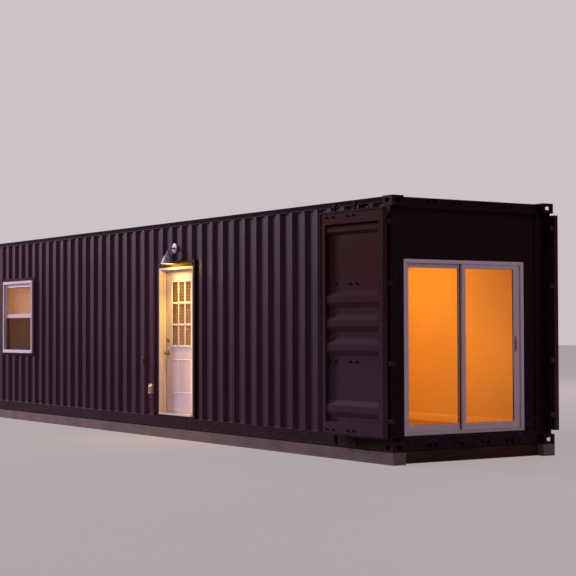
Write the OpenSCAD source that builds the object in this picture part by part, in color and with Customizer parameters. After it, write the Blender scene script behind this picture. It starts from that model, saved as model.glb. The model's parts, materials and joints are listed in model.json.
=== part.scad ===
// Shipping container cabin: a forty foot high cube box on strip footings, with its cargo doors folded
// back, a sliding patio door in the open end, and an entry door, a wall lamp and a window in one side.
// The origin is the middle of the footprint on the ground. +X points to the cargo door end, -Y to the
// side with the entry door and +Z up. Lengths are in millimetres.
// In the local frames below, a runs inwards from an end, b runs inwards from a side, and heights are
// measured from the underside of the corner castings.

/* [Container box] */
// Length over the corner castings
box_length = 12192; // [11900:1:13000]
// Width over the corner castings
box_width = 2438; // [2400:1:2500]
// Height over the corner castings
box_height = 2896; // [2860:1:3000]
// How far the walls and posts lie behind the faces of the castings
skin_set_back = 5.4; // [4:0.1:7]
// Height of the strip footings
footing_height = 140; // [60:1:300]
// Width of the strip footings
footing_width = 180; // [165:1:300]

/* [Corner castings] */
// Length of a casting along the box
casting_length = 178; // [170:1:190]
// Width of a casting across the box
casting_width = 162; // [155:1:170]
// Height of a casting
casting_height = 118; // [112:1:126]
// Thickness of a casting's sides
casting_wall = 14; // [10:1:18]
// Thickness of a casting's top or bottom plate
casting_plate = 28; // [20:1:30]
// Length of the slot in the top or bottom plate
casting_slot = 124; // [110:1:126]
// Width of that slot
casting_slot_width = 63.5; // [55:0.5:66]
// Length of the holes in the side and the end
casting_hole = 79; // [70:1:82]
// Height of those holes
casting_hole_height = 51; // [44:1:54]

/* [Wall sheets] */
// Distance from one rib of a side wall to the next
rib_pitch = 278; // [274:0.5:300]
// Width of a rib's outer flat
rib_flat = 72; // [60:1:76]
// Width of a rib's sloping side
rib_slope = 68; // [55:1:70]
// Depth of a rib
rib_depth = 36; // [30:1:40]
// Distance from the cargo door end to the first outer flat
first_rib = 381; // [375:1:400]
// Distance from one rib of the end wall to the next
end_rib_pitch = 250; // [245:1:262]
// Width of the end wall's outer flat
end_rib_flat = 110; // [100:1:114]
// Width of the end wall's sloping side
end_rib_slope = 18; // [14:1:22]
// Depth of the end wall's ribs
end_rib_depth = 45.6; // [40:0.1:48]
// Distance from one trough of the roof to the next
roof_pitch = 209; // [205:1:260]
// Width of a trough at the roof's level
roof_trough = 118; // [100:1:122]
// Width of a trough's sloping side
roof_slope = 13.5; // [10:0.5:18]
// Depth of the roof's troughs
roof_depth = 20; // [14:1:22]
// Thickness of the steel sheets
sheet = 2; // [1.5:0.1:3]

/* [Rails and floor] */
// Size of the square top side rails
top_rail = 60; // [50:1:64]
// Wall of the rails
rail_wall = 4; // [3:0.5:5]
// Height of the top of the bottom side rails
bottom_rail_top = 162; // [155:1:168]
// Height of the underside of the bottom side rails
bottom_rail_foot = 12; // [8:1:16]
// Width of the bottom side rails' flanges
bottom_rail_flange = 48; // [44:1:52]
// Height of the floor's top
floor_top = 168; // [164:1:176]
// Thickness of the floor boards
floor_board = 28; // [21:1:30]
// Height of a cross member
cross_member = 122; // [100:1:122]
// Width of a cross member's flange
cross_flange = 45; // [40:1:60]
// Distance from one cross member to the next
cross_pitch = 305; // [290:1:340]

/* [Cargo doors] */
// Distance of the hinge pin from the end
hinge_a = 25; // [22:1:28]
// Distance of the hinge pin from the side
hinge_b = 20; // [19:1:22]
// Radius of the hinge pin
pin_radius = 6; // [5:0.5:8]
// Distance of a closed leaf's outer face from the end
leaf_set_back = 92; // [90:1:100]
// Thickness of a leaf
leaf_thickness = 50; // [46:1:52]
// Width of a leaf's upright frame members
leaf_stile = 100; // [80:1:120]
// Height of a leaf's top and bottom frame members
leaf_rail = 150; // [120:1:170]
// Gap from the hinge pin to a leaf's edge
leaf_edge = 15; // [15:1:18]
// Gap between the two closed leaves
leaf_gap = 20; // [19:1:30]
// Clearance above and below a leaf
leaf_clear = 8; // [6:1:12]
// Clearance between the gasket of a closed leaf and its seat
leaf_seat_clear = 5; // [5:0.5:8]
// Thickness of the door gasket
gasket = 8; // [6:0.5:10]
// Width of the door gasket
gasket_width = 20; // [16:1:26]
// Width across a rib of the leaf's panel, at its foot
leaf_rib = 196; // [180:1:206]
// How far a folded leaf stands off from the side, in degrees
leaf_stand_off = 3; // [0:0.5:6]
// Radius of a lock rod
rod_radius = 17; // [14:1:18]
// Distance of a lock rod's axis from the leaf's face
rod_stand_off = 28; // [26:1:30]

/* [Door end] */
// Height of the sill's front
sill_front = 150; // [140:1:154]
// Height of the header's front
header_front = 128; // [124:1:140]
// How far the header's seat drops below its front
header_seat = 30; // [24:1:40]
// Thickness of the infill sheet
infill = 3; // [2:0.5:5]

/* [Patio door] */
// Distance from the entry side of the box to the patio door's frame
patio_left_margin = 286; // [260:1:330]
// Distance from the plain side of the box to the patio door's frame
patio_right_margin = 336; // [300:1:360]
// Height of the patio door's frame
patio_height = 2019; // [1960:1:2080]
// Distance of the patio door's front from the end
patio_set_back = 165; // [164:1:166]
// Depth of the patio door's frame
patio_depth = 116; // [114:1:130]
// Face width of the patio door's side members
patio_jamb = 45; // [40:1:52]
// Height of the patio door's top member
patio_head = 40; // [36:1:50]
// Height of the patio door's sill
patio_sill = 30; // [24:1:36]
// Thickness of a glazed panel
panel_thickness = 36; // [32:1:37]
// Height of a panel's bottom rail
panel_bottom_rail = 68; // [60:1:90]
// Height of a panel's top rail
panel_top_rail = 56; // [50:1:70]
// Width of the sliding panel's lock stile
lock_stile = 96; // [90:1:115]
// Width of the two panels' meeting stiles
meeting_stile = 46; // [40:1:60]
// Width of the fixed panel's outer stile
fixed_stile = 82; // [70:1:90]
// How far the two panels overlap in the middle
panel_overlap = 37; // [30:1:40]
// Face width of the steel tubes round the patio door
patio_tube = 55; // [45:1:60]

/* [Entry door] */
// Distance from the cargo door end to the entry door's frame
entry_from_end = 4521; // [4480:1:4560]
// Width of the entry door's frame
entry_width = 963; // [940:1:1000]
// Height of the underside of the entry door's frame
entry_foot = 188; // [184:1:196]
// Height of the top of the entry door's frame
entry_top = 2295; // [2260:1:2310]
// Distance from the side to the room's wall face, which is the frame's depth
lining_face = 148; // [146:1:170]
// Thickness of the frame's side members
entry_jamb = 20; // [18:1:24]
// Thickness of the frame's top member
entry_head = 67; // [50:1:76]
// Height of the threshold
threshold = 34; // [28:1:40]
// Thickness of the door slab
slab_thickness = 44; // [40:1:45]
// Gap between the slab and its frame
slab_gap = 5; // [5:0.5:6]
// Width of the door's visible glazing
lite_width = 527; // [480:1:540]
// Height of the door's visible glazing
lite_height = 889; // [820:1:900]
// Height of the middle of the glazing
lite_middle = 1606; // [1590:1:1630]
// Width of the glazing bars
muntin = 19; // [14:1:24]
// Height of the door knob
knob_height = 1052; // [1000:1:1070]
// Height of the deadbolt
deadbolt_height = 1237; // [1200:1:1260]
// Face width of the steel tubes round the entry door and the window
opening_tube = 50; // [40:1:60]

/* [Window] */
// Distance from the far end to the window's frame
window_from_far_end = 1081; // [1000:1:1160]
// Width of the window's frame
window_width = 1234; // [1180:1:1280]
// Height of the underside of the window's frame
window_foot = 998; // [950:1:1050]
// Height of the window's frame
window_height = 1210; // [1150:1:1260]
// Face width of the window's frame
window_face = 45; // [38:1:50]
// Depth of the window's frame
window_depth = 100; // [98:1:110]
// Width of a sash's members
sash_face = 40; // [34:1:46]
// Height of the window's meeting rails
meeting_rail = 59; // [50:1:64]

/* [Lamp and outlet box] */
// Height of the middle of the lamp's wall plate over the entry door's frame
lamp_over_door = 223; // [200:1:240]
// Radius of the lamp's wall plate
lamp_plate = 72; // [60:1:76]
// Distance of the shade's axis from the side
lamp_reach = 118; // [110:1:130]
// Radius of the shade's rim
shade_radius = 85; // [75:1:95]
// Height of the shade
shade_height = 150; // [130:1:160]
// Distance from the cargo door end to the middle of the outlet box
outlet_from_end = 5699; // [5690:1:5708]
// Height of the underside of the outlet box
outlet_foot = 469; // [440:1:520]

/* [Hidden] */
$fn = 48;

// Overshoot of a cutting tool past the face that it cuts
over = 1;
// Running clearance between a hinge pin and its knuckle, and under the sliding panel
running = 0.1;
seat_gap = 0.3;

// Colours of the finishes
paint = [0.25, 0.17, 0.22];
paint_dark = [0.17, 0.11, 0.15];
white = [0.86, 0.84, 0.86];
cream = [0.85, 0.74, 0.58];
timber = [0.5, 0.36, 0.24];
concrete = [0.6, 0.56, 0.53];
rubber = [0.06, 0.06, 0.06];
glass = [0.95, 0.7, 0.3, 0.5];
brass = [0.72, 0.58, 0.32];
zinc = [0.5, 0.52, 0.58];

// The two ends of the walls, and the heights between which they stand
wall_start = casting_length;
wall_end = box_length - casting_length;
rail_top = box_height - 8 - sheet;
wall_top = rail_top - top_rail;
ceiling_height = wall_top - 126;
lining = 12;

// The seat that the closed cargo doors press on
seat_a = leaf_set_back + leaf_thickness + gasket + leaf_seat_clear;
lip_front = 52;
lip_wall = 8;
seat_wall = 10;
header_front_foot = box_height - header_front;
header_foot = header_front_foot - header_seat;
keeper_depth = 40;

// A cargo door leaf, measured from its hinge pin: along it, and away from it
leaf_outer = hinge_a - leaf_set_back;
leaf_inner = leaf_outer - leaf_thickness;
leaf_width = box_width / 2 - hinge_b - leaf_edge - leaf_gap / 2;
leaf_foot = sill_front + leaf_clear;
leaf_head = header_front_foot - leaf_clear;
leaf_height = leaf_head - leaf_foot;
leaf_hinges = [for (share = [0.074, 0.324, 0.67, 0.938]) leaf_foot + share * leaf_height];
leaf_hinge_height = 56;
knuckle_radius = 14;
rod_places = [620, 1000];
// The ribs of a leaf's panel: the share of the leaf's height at which each lies, and its relative width
leaf_ribs = [[0.118, 1], [0.391, 1], [0.498, 1], [0.605, 1], [0.917, 0.63]];

// The patio door
patio_low = floor_top;
patio_high = patio_low + patio_height;
patio_left = patio_left_margin - box_width / 2;
patio_right = box_width / 2 - patio_right_margin;
track_rib = 4.7;
track_fin = 2;
track_gap = 5;
pocket = 20;
panel_bite = 10;
outer_panel_a = patio_set_back + 23;
fin_a = outer_panel_a + panel_thickness + track_gap;
inner_panel_a = fin_a + track_fin + track_gap;
panel_foot = patio_low + patio_sill + track_rib + seat_gap;
panel_head = patio_high - patio_head + 12;
meeting_shift = 8;
meeting_line = (patio_left + patio_right) / 2 - meeting_shift;
sliding_left = meeting_line - panel_overlap / 2;
sliding_right = patio_right - patio_jamb + panel_bite;
fixed_left = patio_left + patio_jamb - panel_bite;
fixed_right = meeting_line + panel_overlap / 2;
pane = 18;
infill_a = seat_a + seat_wall + 5;
surround_a = patio_set_back + 1;
surround_depth = 50;

// The entry door
entry_far = entry_from_end + entry_width;
slab_outer = lining_face - slab_thickness;
slab_near = entry_from_end + entry_jamb + slab_gap;
slab_far = entry_far - entry_jamb - slab_gap - 2;
slab_foot = entry_foot + threshold + slab_gap;
slab_head = entry_top - entry_head - slab_gap;
slab_middle = (slab_near + slab_far) / 2;
entry_pin_a = slab_near - slab_gap / 2;
entry_pin_b = lining_face + 6;
entry_hinge_inset = 180;
entry_hinges = [slab_foot + entry_hinge_inset, (slab_foot + slab_head) / 2, slab_head - entry_hinge_inset];
entry_hinge_height = 90;
entry_knuckle = 6;
entry_pin = 3;
third = entry_hinge_height / 3;
axial = 0.5;
plate = 1.5;
plate_depth = 36;
lite_rim = 33;
lite_lap = 9;
lite_proud = 12;
handle_a = slab_far - 64;

// The window
window_far = box_length - window_from_far_end;
window_from_end = window_far - window_width;
window_top = window_foot + window_height;
window_front = -28;
sash_set_back = 38;
sash_depth = 28;
sash_gap = 2;
window_back = window_front + window_depth;
meeting_height = window_foot + window_height / 2 + 12;
window_middle = window_from_end + window_width / 2;

// Places a piece by its distance inwards from an end (a) and from a side (b)
module at_corner(end, side) {
    translate([end * box_length / 2, side * box_width / 2, footing_height])
        mirror([end > 0 ? 1 : 0, 0, 0])
            mirror([0, side > 0 ? 1 : 0, 0])
                children();
}

// Places a piece by its distance inwards from an end, with Y left as it is
module at_end(end) {
    translate([end * box_length / 2, 0, footing_height])
        mirror([end > 0 ? 1 : 0, 0, 0])
            children();
}

module at_every_corner() {
    for (end = [-1, 1], side = [-1, 1])
        at_corner(end, side) children();
}

// The side with the entry door
module entry_side() {
    at_corner(1, -1) children();
}

// Sweeps a profile drawn in Y and Z along X
module along_x(from, to) {
    translate([from, 0, 0])
        rotate([90, 0, 90])
            linear_extrude(to - from) children();
}

// Sweeps a profile drawn in X and Z along Y
module along_y(from, to) {
    translate([0, to, 0])
        rotate([90, 0, 0])
            linear_extrude(to - from) children();
}

// A block between two opposite corners
module block(low, high) {
    translate(low) cube(high - low);
}

// A square ring that lies between two opposite corners and faces along Y
module ring(low, high, side, bottom, top) {
    difference() {
        block(low, high);
        block([low.x + side, low.y - over, low.z + bottom], [high.x - side, high.y + over, high.z - top]);
    }
}

// A hollow rectangular section in a sweep's plane
module hollow(low, high, wall) {
    difference() {
        translate(low) square(high - low);
        translate(low + [wall, wall]) square(high - low - 2 * [wall, wall]);
    }
}

// A slot with round ends
module slot(long, wide) {
    intersection() {
        circle(d = long);
        square([long, wide], center = true);
    }
}

// One corner casting with its slot downwards, and the holes in its end and its side
module corner_casting() {
    hole_a = 101.5;
    hole_b = 89;
    hole_z = 54;
    difference() {
        cube([casting_length, casting_width, casting_height]);
        block([casting_wall, casting_wall, casting_plate],
              [casting_length - casting_wall, casting_width - casting_wall, casting_height - casting_wall]);
        translate([hole_a, hole_b, -over])
            linear_extrude(casting_plate + 2 * over) slot(casting_slot, casting_slot_width);
        translate([hole_a, casting_wall + over, hole_z])
            rotate([90, 0, 0])
                linear_extrude(casting_wall + 2 * over) slot(casting_hole, casting_hole_height);
        translate([-over, hole_b, hole_z])
            rotate([90, 0, 90])
                linear_extrude(casting_wall + 2 * over) slot(casting_hole, casting_hole_height);
    }
}

module bottom_corner_castings() {
    color(paint_dark)
        at_every_corner() corner_casting();
}

module top_corner_castings() {
    color(paint_dark)
        at_every_corner()
            translate([0, 0, box_height]) mirror([0, 0, 1]) corner_casting();
}

// The fixed lugs and the pin of one cargo door hinge
module hinge_lugs(height) {
    lug = 12;
    gap = 1;
    reach = leaf_hinge_height / 2 + gap;
    for (z = [height - reach - lug, height + reach])
        translate([0, 0, z]) linear_extrude(lug) {
            translate([hinge_a, hinge_b]) circle(knuckle_radius);
            polygon([[hinge_a, hinge_b - knuckle_radius], [lip_front + lip_wall, skin_set_back],
                     [lip_front + lip_wall, skin_set_back + lip_wall], [hinge_a + knuckle_radius, hinge_b]]);
        }
    translate([hinge_a, hinge_b, height - reach - lug])
        cylinder(r = pin_radius, h = 2 * (reach + lug));
}

// Posts of the door end: an outer lip that carries the hinges and a seat for the door's gasket
module door_end_posts() {
    color(paint_dark)
        for (side = [-1, 1]) at_corner(1, side) {
            translate([0, 0, casting_height])
                linear_extrude(box_height - 2 * casting_height)
                    polygon([[lip_front, skin_set_back], [lip_front, skin_set_back + lip_wall],
                             [seat_a, skin_set_back + lip_wall], [seat_a, casting_width],
                             [casting_length, casting_width], [casting_length, casting_width - seat_wall],
                             [seat_a + seat_wall, casting_width - seat_wall],
                             [seat_a + seat_wall, skin_set_back + lip_wall],
                             [casting_length, skin_set_back + lip_wall], [casting_length, skin_set_back]]);
            for (height = leaf_hinges) hinge_lugs(height);
        }
}

// Posts of the far end: one pressed section each
module far_end_posts() {
    wall = 6;
    flange = 50;
    color(paint)
        for (side = [-1, 1]) at_corner(-1, side)
            translate([0, 0, casting_height])
                linear_extrude(box_height - 2 * casting_height)
                    polygon([[skin_set_back, skin_set_back], [casting_length, skin_set_back],
                             [casting_length, skin_set_back + wall], [skin_set_back + wall, skin_set_back + wall],
                             [skin_set_back + wall, casting_width - wall], [flange, casting_width - wall],
                             [flange, casting_width], [skin_set_back, casting_width]]);
}

// Lugs on the header and the sill that hold the cams of the lock rods
module cam_keepers(low, high) {
    lug = 12;
    room = 80;
    for (side = [-1, 1], place = rod_places, across = [-1, 1])
        translate([0, side * (box_width / 2 - hinge_b - place) + across * (room + lug) / 2, 0])
            block([leaf_set_back - keeper_depth, -lug / 2, low], [leaf_set_back, lug / 2, high]);
}

module door_header() {
    inner_a = casting_length - rail_wall;
    reach = box_width / 2 - casting_width;
    color(paint_dark)
        at_end(1) {
            along_y(-reach, reach) difference() {
                polygon([[leaf_set_back, rail_top], [leaf_set_back, header_front_foot],
                         [seat_a, header_front_foot], [seat_a, header_foot],
                         [casting_length, header_foot], [casting_length, rail_top]]);
                polygon([[leaf_set_back + rail_wall, rail_top - rail_wall],
                         [leaf_set_back + rail_wall, header_front_foot + rail_wall],
                         [seat_a + rail_wall, header_front_foot + rail_wall],
                         [seat_a + rail_wall, header_foot + rail_wall],
                         [inner_a, header_foot + rail_wall], [inner_a, rail_top - rail_wall]]);
            }
            cam_keepers(box_height - 66, box_height - 30);
        }
}

module door_sill() {
    inner_a = casting_length - rail_wall;
    foot = 10;
    reach = box_width / 2 - casting_width;
    color(paint_dark)
        at_end(1) {
            along_y(-reach, reach) difference() {
                polygon([[leaf_set_back, foot], [leaf_set_back, sill_front], [seat_a, sill_front],
                         [seat_a, floor_top], [casting_length, floor_top], [casting_length, foot]]);
                polygon([[leaf_set_back + rail_wall, foot + rail_wall],
                         [leaf_set_back + rail_wall, sill_front - rail_wall],
                         [seat_a + rail_wall, sill_front - rail_wall],
                         [seat_a + rail_wall, floor_top - rail_wall],
                         [inner_a, floor_top - rail_wall], [inner_a, foot + rail_wall]]);
            }
            cam_keepers(40, 76);
        }
}

module far_end_rails() {
    reach = box_width / 2 - casting_width;
    color(paint)
        at_end(-1) {
            along_y(-reach, reach)
                hollow([skin_set_back, wall_top], [skin_set_back + top_rail, rail_top], rail_wall);
            along_y(-reach, reach)
                hollow([skin_set_back, bottom_rail_foot], [skin_set_back + top_rail, bottom_rail_top], rail_wall);
        }
}

module top_side_rails() {
    color(paint)
        for (side = [-1, 1]) at_corner(1, side)
            along_x(wall_start, wall_end)
                hollow([skin_set_back, wall_top], [skin_set_back + top_rail, rail_top], rail_wall);
}

module bottom_side_rails() {
    inner = skin_set_back + rail_wall;
    edge = skin_set_back + bottom_rail_flange;
    color(paint_dark)
        for (side = [-1, 1]) at_corner(1, side)
            along_x(wall_start, wall_end)
                polygon([[skin_set_back, bottom_rail_foot], [edge, bottom_rail_foot],
                         [edge, bottom_rail_foot + rail_wall], [inner, bottom_rail_foot + rail_wall],
                         [inner, bottom_rail_top - rail_wall], [edge, bottom_rail_top - rail_wall],
                         [edge, bottom_rail_top], [skin_set_back, bottom_rail_top]]);
}

module floor_crossmembers() {
    reach = box_width / 2 - skin_set_back - rail_wall;
    top = floor_top - floor_board;
    foot = top - cross_member;
    first = casting_length + cross_pitch / 2;
    last = box_length - casting_length - cross_flange;
    color(paint_dark)
        at_end(1)
            for (a = [first : cross_pitch : last])
                along_y(-reach, reach)
                    polygon([[a, foot], [a + cross_flange, foot], [a + cross_flange, foot + rail_wall],
                             [a + rail_wall, foot + rail_wall], [a + rail_wall, top - rail_wall],
                             [a + cross_flange, top - rail_wall], [a + cross_flange, top], [a, top]]);
}

module floor_deck() {
    reach = box_width / 2 - skin_set_back - bottom_rail_flange - over;
    narrow = box_width / 2 - casting_width - over;
    color(timber)
        at_end(1) {
            block([casting_length, -reach, floor_top - floor_board], [wall_end, reach, floor_top]);
            block([wall_end, -narrow, floor_top - floor_board],
                  [box_length - skin_set_back - top_rail, narrow, floor_top]);
        }
}

// The line of the side wall's sheet, from the cargo door end to the far end, moved inwards by a shift
rib_count = floor((wall_end - first_rib) / rib_pitch) + 1;
function side_line(shift) = let (out = skin_set_back + shift, in = skin_set_back + rib_depth + shift) concat(
    [[wall_start, out], [first_rib - rib_pitch + rib_flat + rib_slope, in]],
    [for (n = [0 : rib_count - 1], p = [0 : n < rib_count - 1 ? 3 : 1])
        let (a = first_rib + n * rib_pitch)
            [a + [-rib_slope, 0, rib_flat, rib_flat + rib_slope][p], p == 0 || p == 3 ? in : out]],
    [[wall_end, out]]);

function reversed(list) = [for (i = [len(list) - 1 : -1 : 0]) list[i]];

module side_sheet() {
    translate([0, 0, bottom_rail_top])
        linear_extrude(wall_top - bottom_rail_top)
            polygon(concat(side_line(0), reversed(side_line(sheet))));
}

// The part of a side wall between two distances from the end and above a height
module side_sheet_between(from, to, above) {
    intersection() {
        side_sheet();
        block([from, 0, above], [to, casting_width, wall_top + over]);
    }
}

module entry_wall_near() {
    color(paint)
        entry_side()
            side_sheet_between(wall_start - over, entry_from_end - opening_tube, bottom_rail_top - over);
}

module entry_wall_over_door() {
    color(paint)
        entry_side()
            side_sheet_between(entry_from_end - opening_tube, entry_far + opening_tube,
                               entry_top + opening_tube);
}

module entry_wall_far() {
    color(paint)
        entry_side()
            difference() {
                side_sheet_between(entry_far + opening_tube, wall_end + over, bottom_rail_top - over);
                block([window_from_end - opening_tube, -over, window_foot - opening_tube],
                      [window_far + opening_tube, casting_width, window_top + opening_tube]);
            }
}

module plain_side_wall() {
    color(paint)
        at_corner(1, 1) side_sheet();
}

// The line of the far end wall's sheet, across the box
function end_line(shift) = let (
    reach = box_width / 2 - casting_width,
    out = skin_set_back + shift,
    in = skin_set_back + end_rib_depth + shift,
    count = floor((2 * reach - end_rib_flat) / end_rib_pitch),
    start = -count * end_rib_pitch / 2) concat(
    [[out, -reach]],
    [for (n = [0 : count - 1], p = [0 : 3])
        let (y = start + (n + 0.5) * end_rib_pitch, half = (end_rib_pitch - end_rib_flat) / 2)
            [p == 0 || p == 3 ? out : in, y + [-half, -half + end_rib_slope, half - end_rib_slope, half][p]]],
    [[out, reach]]);

module far_end_wall() {
    color(paint)
        at_end(-1)
            translate([0, 0, bottom_rail_top])
                linear_extrude(wall_top - bottom_rail_top)
                    polygon(concat(end_line(0), reversed(end_line(sheet))));
}

// The roof's troughs: pressed across the sheet, with sloping ends, from a height downwards
module roof_troughs(level) {
    reach = box_width / 2 - skin_set_back - top_rail - 6;
    first = casting_length + 40;
    count = floor((box_length - 2 * first) / roof_pitch);
    start = (box_length - count * roof_pitch) / 2;
    intersection() {
        along_y(-reach, reach)
            polygon(concat(
                [for (n = [0 : count - 1], p = [0 : 3])
                    let (a = start + (n + 0.5) * roof_pitch, half = roof_trough / 2)
                        [a + [-half, -half + roof_slope, half - roof_slope, half][p],
                         level - (p == 1 || p == 2 ? roof_depth : 0)]],
                [[box_length - first, level], [box_length - first, level + sheet],
                 [first, level + sheet], [first, level]]));
        along_x(0, box_length)
            polygon([[-reach, level + sheet], [-reach, level], [-reach + 3 * roof_slope, level - roof_depth],
                     [reach - 3 * roof_slope, level - roof_depth], [reach, level], [reach, level + sheet]]);
    }
}

module roof_sheet() {
    wide = box_width / 2 - skin_set_back;
    narrow = box_width / 2 - casting_width;
    color(paint)
        at_end(1)
            difference() {
                union() {
                    block([casting_length, -wide, rail_top], [wall_end, wide, rail_top + sheet]);
                    block([leaf_set_back, -narrow, rail_top], [casting_length, narrow, rail_top + sheet]);
                    block([wall_end, -narrow, rail_top],
                          [box_length - skin_set_back, narrow, rail_top + sheet]);
                    roof_troughs(rail_top);
                }
                roof_troughs(rail_top + sheet);
            }
}

// Boards that line the room, with the doorway and the window left open
lining_start = patio_set_back + patio_depth;
lining_end = box_length - skin_set_back - end_rib_depth - 36;
board_gap = 1;
module side_linings() {
    low = [0, lining_face - lining, floor_top];
    color(cream) {
        entry_side() {
            block([lining_start, low.y, low.z], [entry_from_end, lining_face, ceiling_height]);
            block([entry_from_end + board_gap, low.y, entry_top],
                  [entry_far - board_gap, lining_face, ceiling_height]);
            difference() {
                block([entry_far, low.y, low.z], [lining_end - lining, lining_face, ceiling_height]);
                block([window_from_end, low.y - over, window_foot],
                      [window_far, lining_face + over, window_top]);
            }
        }
        at_corner(1, 1)
            block([lining_start, low.y, low.z], [lining_end - lining, lining_face, ceiling_height]);
    }
}

module end_linings() {
    reach = box_width / 2 - lining_face + lining;
    color(cream)
        at_end(1) {
            block([lining_end - lining, -reach, floor_top], [lining_end, reach, ceiling_height]);
            block([lining_start - lining, -reach, floor_top], [lining_start, patio_left, ceiling_height]);
            block([lining_start - lining, patio_right, floor_top], [lining_start, reach, ceiling_height]);
            block([lining_start - lining, patio_left + board_gap, patio_high],
                  [lining_start, patio_right - board_gap, ceiling_height]);
        }
}

module ceiling_lining() {
    reach = box_width / 2 - lining_face + lining;
    color(cream)
        at_end(1)
            block([lining_start - lining, -reach, ceiling_height], [lining_end, reach, ceiling_height + lining]);
}

module infill_sides() {
    reach = box_width / 2 - casting_width;
    color(paint)
        at_end(1) {
            block([infill_a, -reach, floor_top], [infill_a + infill, patio_left - patio_tube, header_foot]);
            block([infill_a, patio_right + patio_tube, floor_top], [infill_a + infill, reach, header_foot]);
        }
}

module infill_over_door() {
    color(paint)
        at_end(1)
            block([infill_a, patio_left - patio_tube, patio_high + patio_tube],
                  [infill_a + infill, patio_right + patio_tube, header_foot]);
}

// Steel tubes round the patio door, the entry door and the window
module opening_surrounds() {
    color(paint_dark) {
        at_end(1)
            difference() {
                block([surround_a, patio_left - patio_tube, patio_low],
                      [surround_a + surround_depth, patio_right + patio_tube, patio_high + patio_tube]);
                block([surround_a - over, patio_left, patio_low - over],
                      [surround_a + surround_depth + over, patio_right, patio_high]);
            }
        entry_side() {
            ring([entry_from_end - opening_tube, 0, bottom_rail_top],
                 [entry_far + opening_tube, opening_tube, entry_top + opening_tube],
                 opening_tube, entry_foot - bottom_rail_top, opening_tube);
            ring([window_from_end - opening_tube, 0, window_foot - opening_tube],
                 [window_far + opening_tube, opening_tube, window_top + opening_tube],
                 opening_tube, opening_tube, opening_tube);
        }
    }
}

// The patio door's frame: pockets for the panels' edges, and a rib that the sliding panel runs on
module patio_frame() {
    back = patio_set_back + patio_depth;
    color(white)
        at_end(1) {
            difference() {
                block([patio_set_back, patio_left, patio_low], [back, patio_right, patio_high]);
                block([patio_set_back - over, patio_left + patio_jamb, patio_low + patio_sill],
                      [back + over, patio_right - patio_jamb, patio_high - patio_head]);
                for (a = [outer_panel_a, inner_panel_a])
                    block([a - track_gap, patio_left + patio_jamb - pocket, patio_low + patio_sill],
                          [a + panel_thickness + track_gap, patio_right - patio_jamb + pocket,
                           patio_high - patio_head + pocket]);
            }
            for (a = [outer_panel_a, inner_panel_a])
                block([a + panel_thickness / 2 - 3, patio_left + patio_jamb, patio_low + patio_sill],
                      [a + panel_thickness / 2 + 3, patio_right - patio_jamb, patio_low + patio_sill + track_rib]);
        }
}

// A glazed panel between two places across the box, with its own stiles and rails
module glazed_panel(a, left, right, left_stile, right_stile, foot) {
    difference() {
        block([a, left, foot], [a + panel_thickness, right, panel_head]);
        block([a - over, left + left_stile, foot + panel_bottom_rail],
              [a + panel_thickness + over, right - right_stile, panel_head - panel_top_rail]);
    }
}

module panel_pane(a, left, right, left_stile, right_stile, foot) {
    front = a + (panel_thickness - pane) / 2;
    block([front, left + left_stile, foot + panel_bottom_rail],
          [front + pane, right - right_stile, panel_head - panel_top_rail]);
}

fixed_foot = patio_low + patio_sill + track_rib;
module patio_fixed_panel() {
    color(white)
        at_end(1) glazed_panel(inner_panel_a, fixed_left, fixed_right, fixed_stile, meeting_stile, fixed_foot);
}

module patio_fixed_glass() {
    color(glass)
        at_end(1) panel_pane(inner_panel_a, fixed_left, fixed_right, fixed_stile, meeting_stile, fixed_foot);
}

module patio_sliding_panel() {
    color(white)
        at_end(1)
            glazed_panel(outer_panel_a, sliding_left, sliding_right, meeting_stile, lock_stile, panel_foot);
}

module patio_sliding_glass() {
    color(glass)
        at_end(1)
            panel_pane(outer_panel_a, sliding_left, sliding_right, meeting_stile, lock_stile, panel_foot);
}

// A pull handle on each face of the sliding panel: a back plate and a grip on two posts
patio_pull_height = 1113;
patio_pull_length = 180;
patio_pull_inset = 20;
module pull_handle(face, out) {
    plate = 4;
    reach = 16;
    width = 28;
    middle = sliding_right - lock_stile + patio_pull_inset;
    for (part = [[0, plate, 0, patio_pull_length], [plate, reach, 12, 26],
                 [plate, reach, patio_pull_length - 26, patio_pull_length - 12],
                 [reach, reach + 6, 12, patio_pull_length - 12]]) {
        ends = [face + out * part[0], face + out * part[1]];
        block([min(ends), middle - width / 2, patio_pull_height + part[2]],
              [max(ends), middle + width / 2, patio_pull_height + part[3]]);
    }
}

module patio_handles() {
    color(white)
        at_end(1) {
            pull_handle(outer_panel_a, -1);
            pull_handle(outer_panel_a + panel_thickness, 1);
        }
}

// The entry door's frame, with stops and the fixed halves of its hinges
module entry_frame() {
    stop = 12;
    stop_back = slab_outer - slab_gap;
    color(white)
        entry_side() {
            difference() {
                block([entry_from_end, 0, entry_foot], [entry_far, lining_face, entry_top]);
                block([entry_from_end + entry_jamb, -over, entry_foot - over],
                      [entry_far - entry_jamb, lining_face + over, entry_top - entry_head]);
            }
            for (edge = [[entry_from_end + entry_jamb, entry_from_end + entry_jamb + stop],
                         [entry_far - entry_jamb - stop, entry_far - entry_jamb]])
                block([edge[0], stop_back - 40, entry_foot + threshold], [edge[1], stop_back, entry_top - entry_head]);
            block([entry_from_end + entry_jamb, stop_back - 40, entry_top - entry_head - stop],
                  [entry_far - entry_jamb, stop_back, entry_top - entry_head]);
            for (z = entry_hinges) {
                for (low = [z - entry_hinge_height / 2, z + third / 2 + axial]) {
                    block([entry_pin_a - slab_gap / 2, lining_face - plate_depth, low],
                          [entry_pin_a - slab_gap / 2 + plate, entry_pin_b, low + third - axial]);
                    translate([entry_pin_a, entry_pin_b, low]) cylinder(r = entry_knuckle, h = third - axial);
                }
                translate([entry_pin_a, entry_pin_b, z - entry_hinge_height / 2])
                    cylinder(r = entry_pin, h = entry_hinge_height);
            }
        }
}

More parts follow.
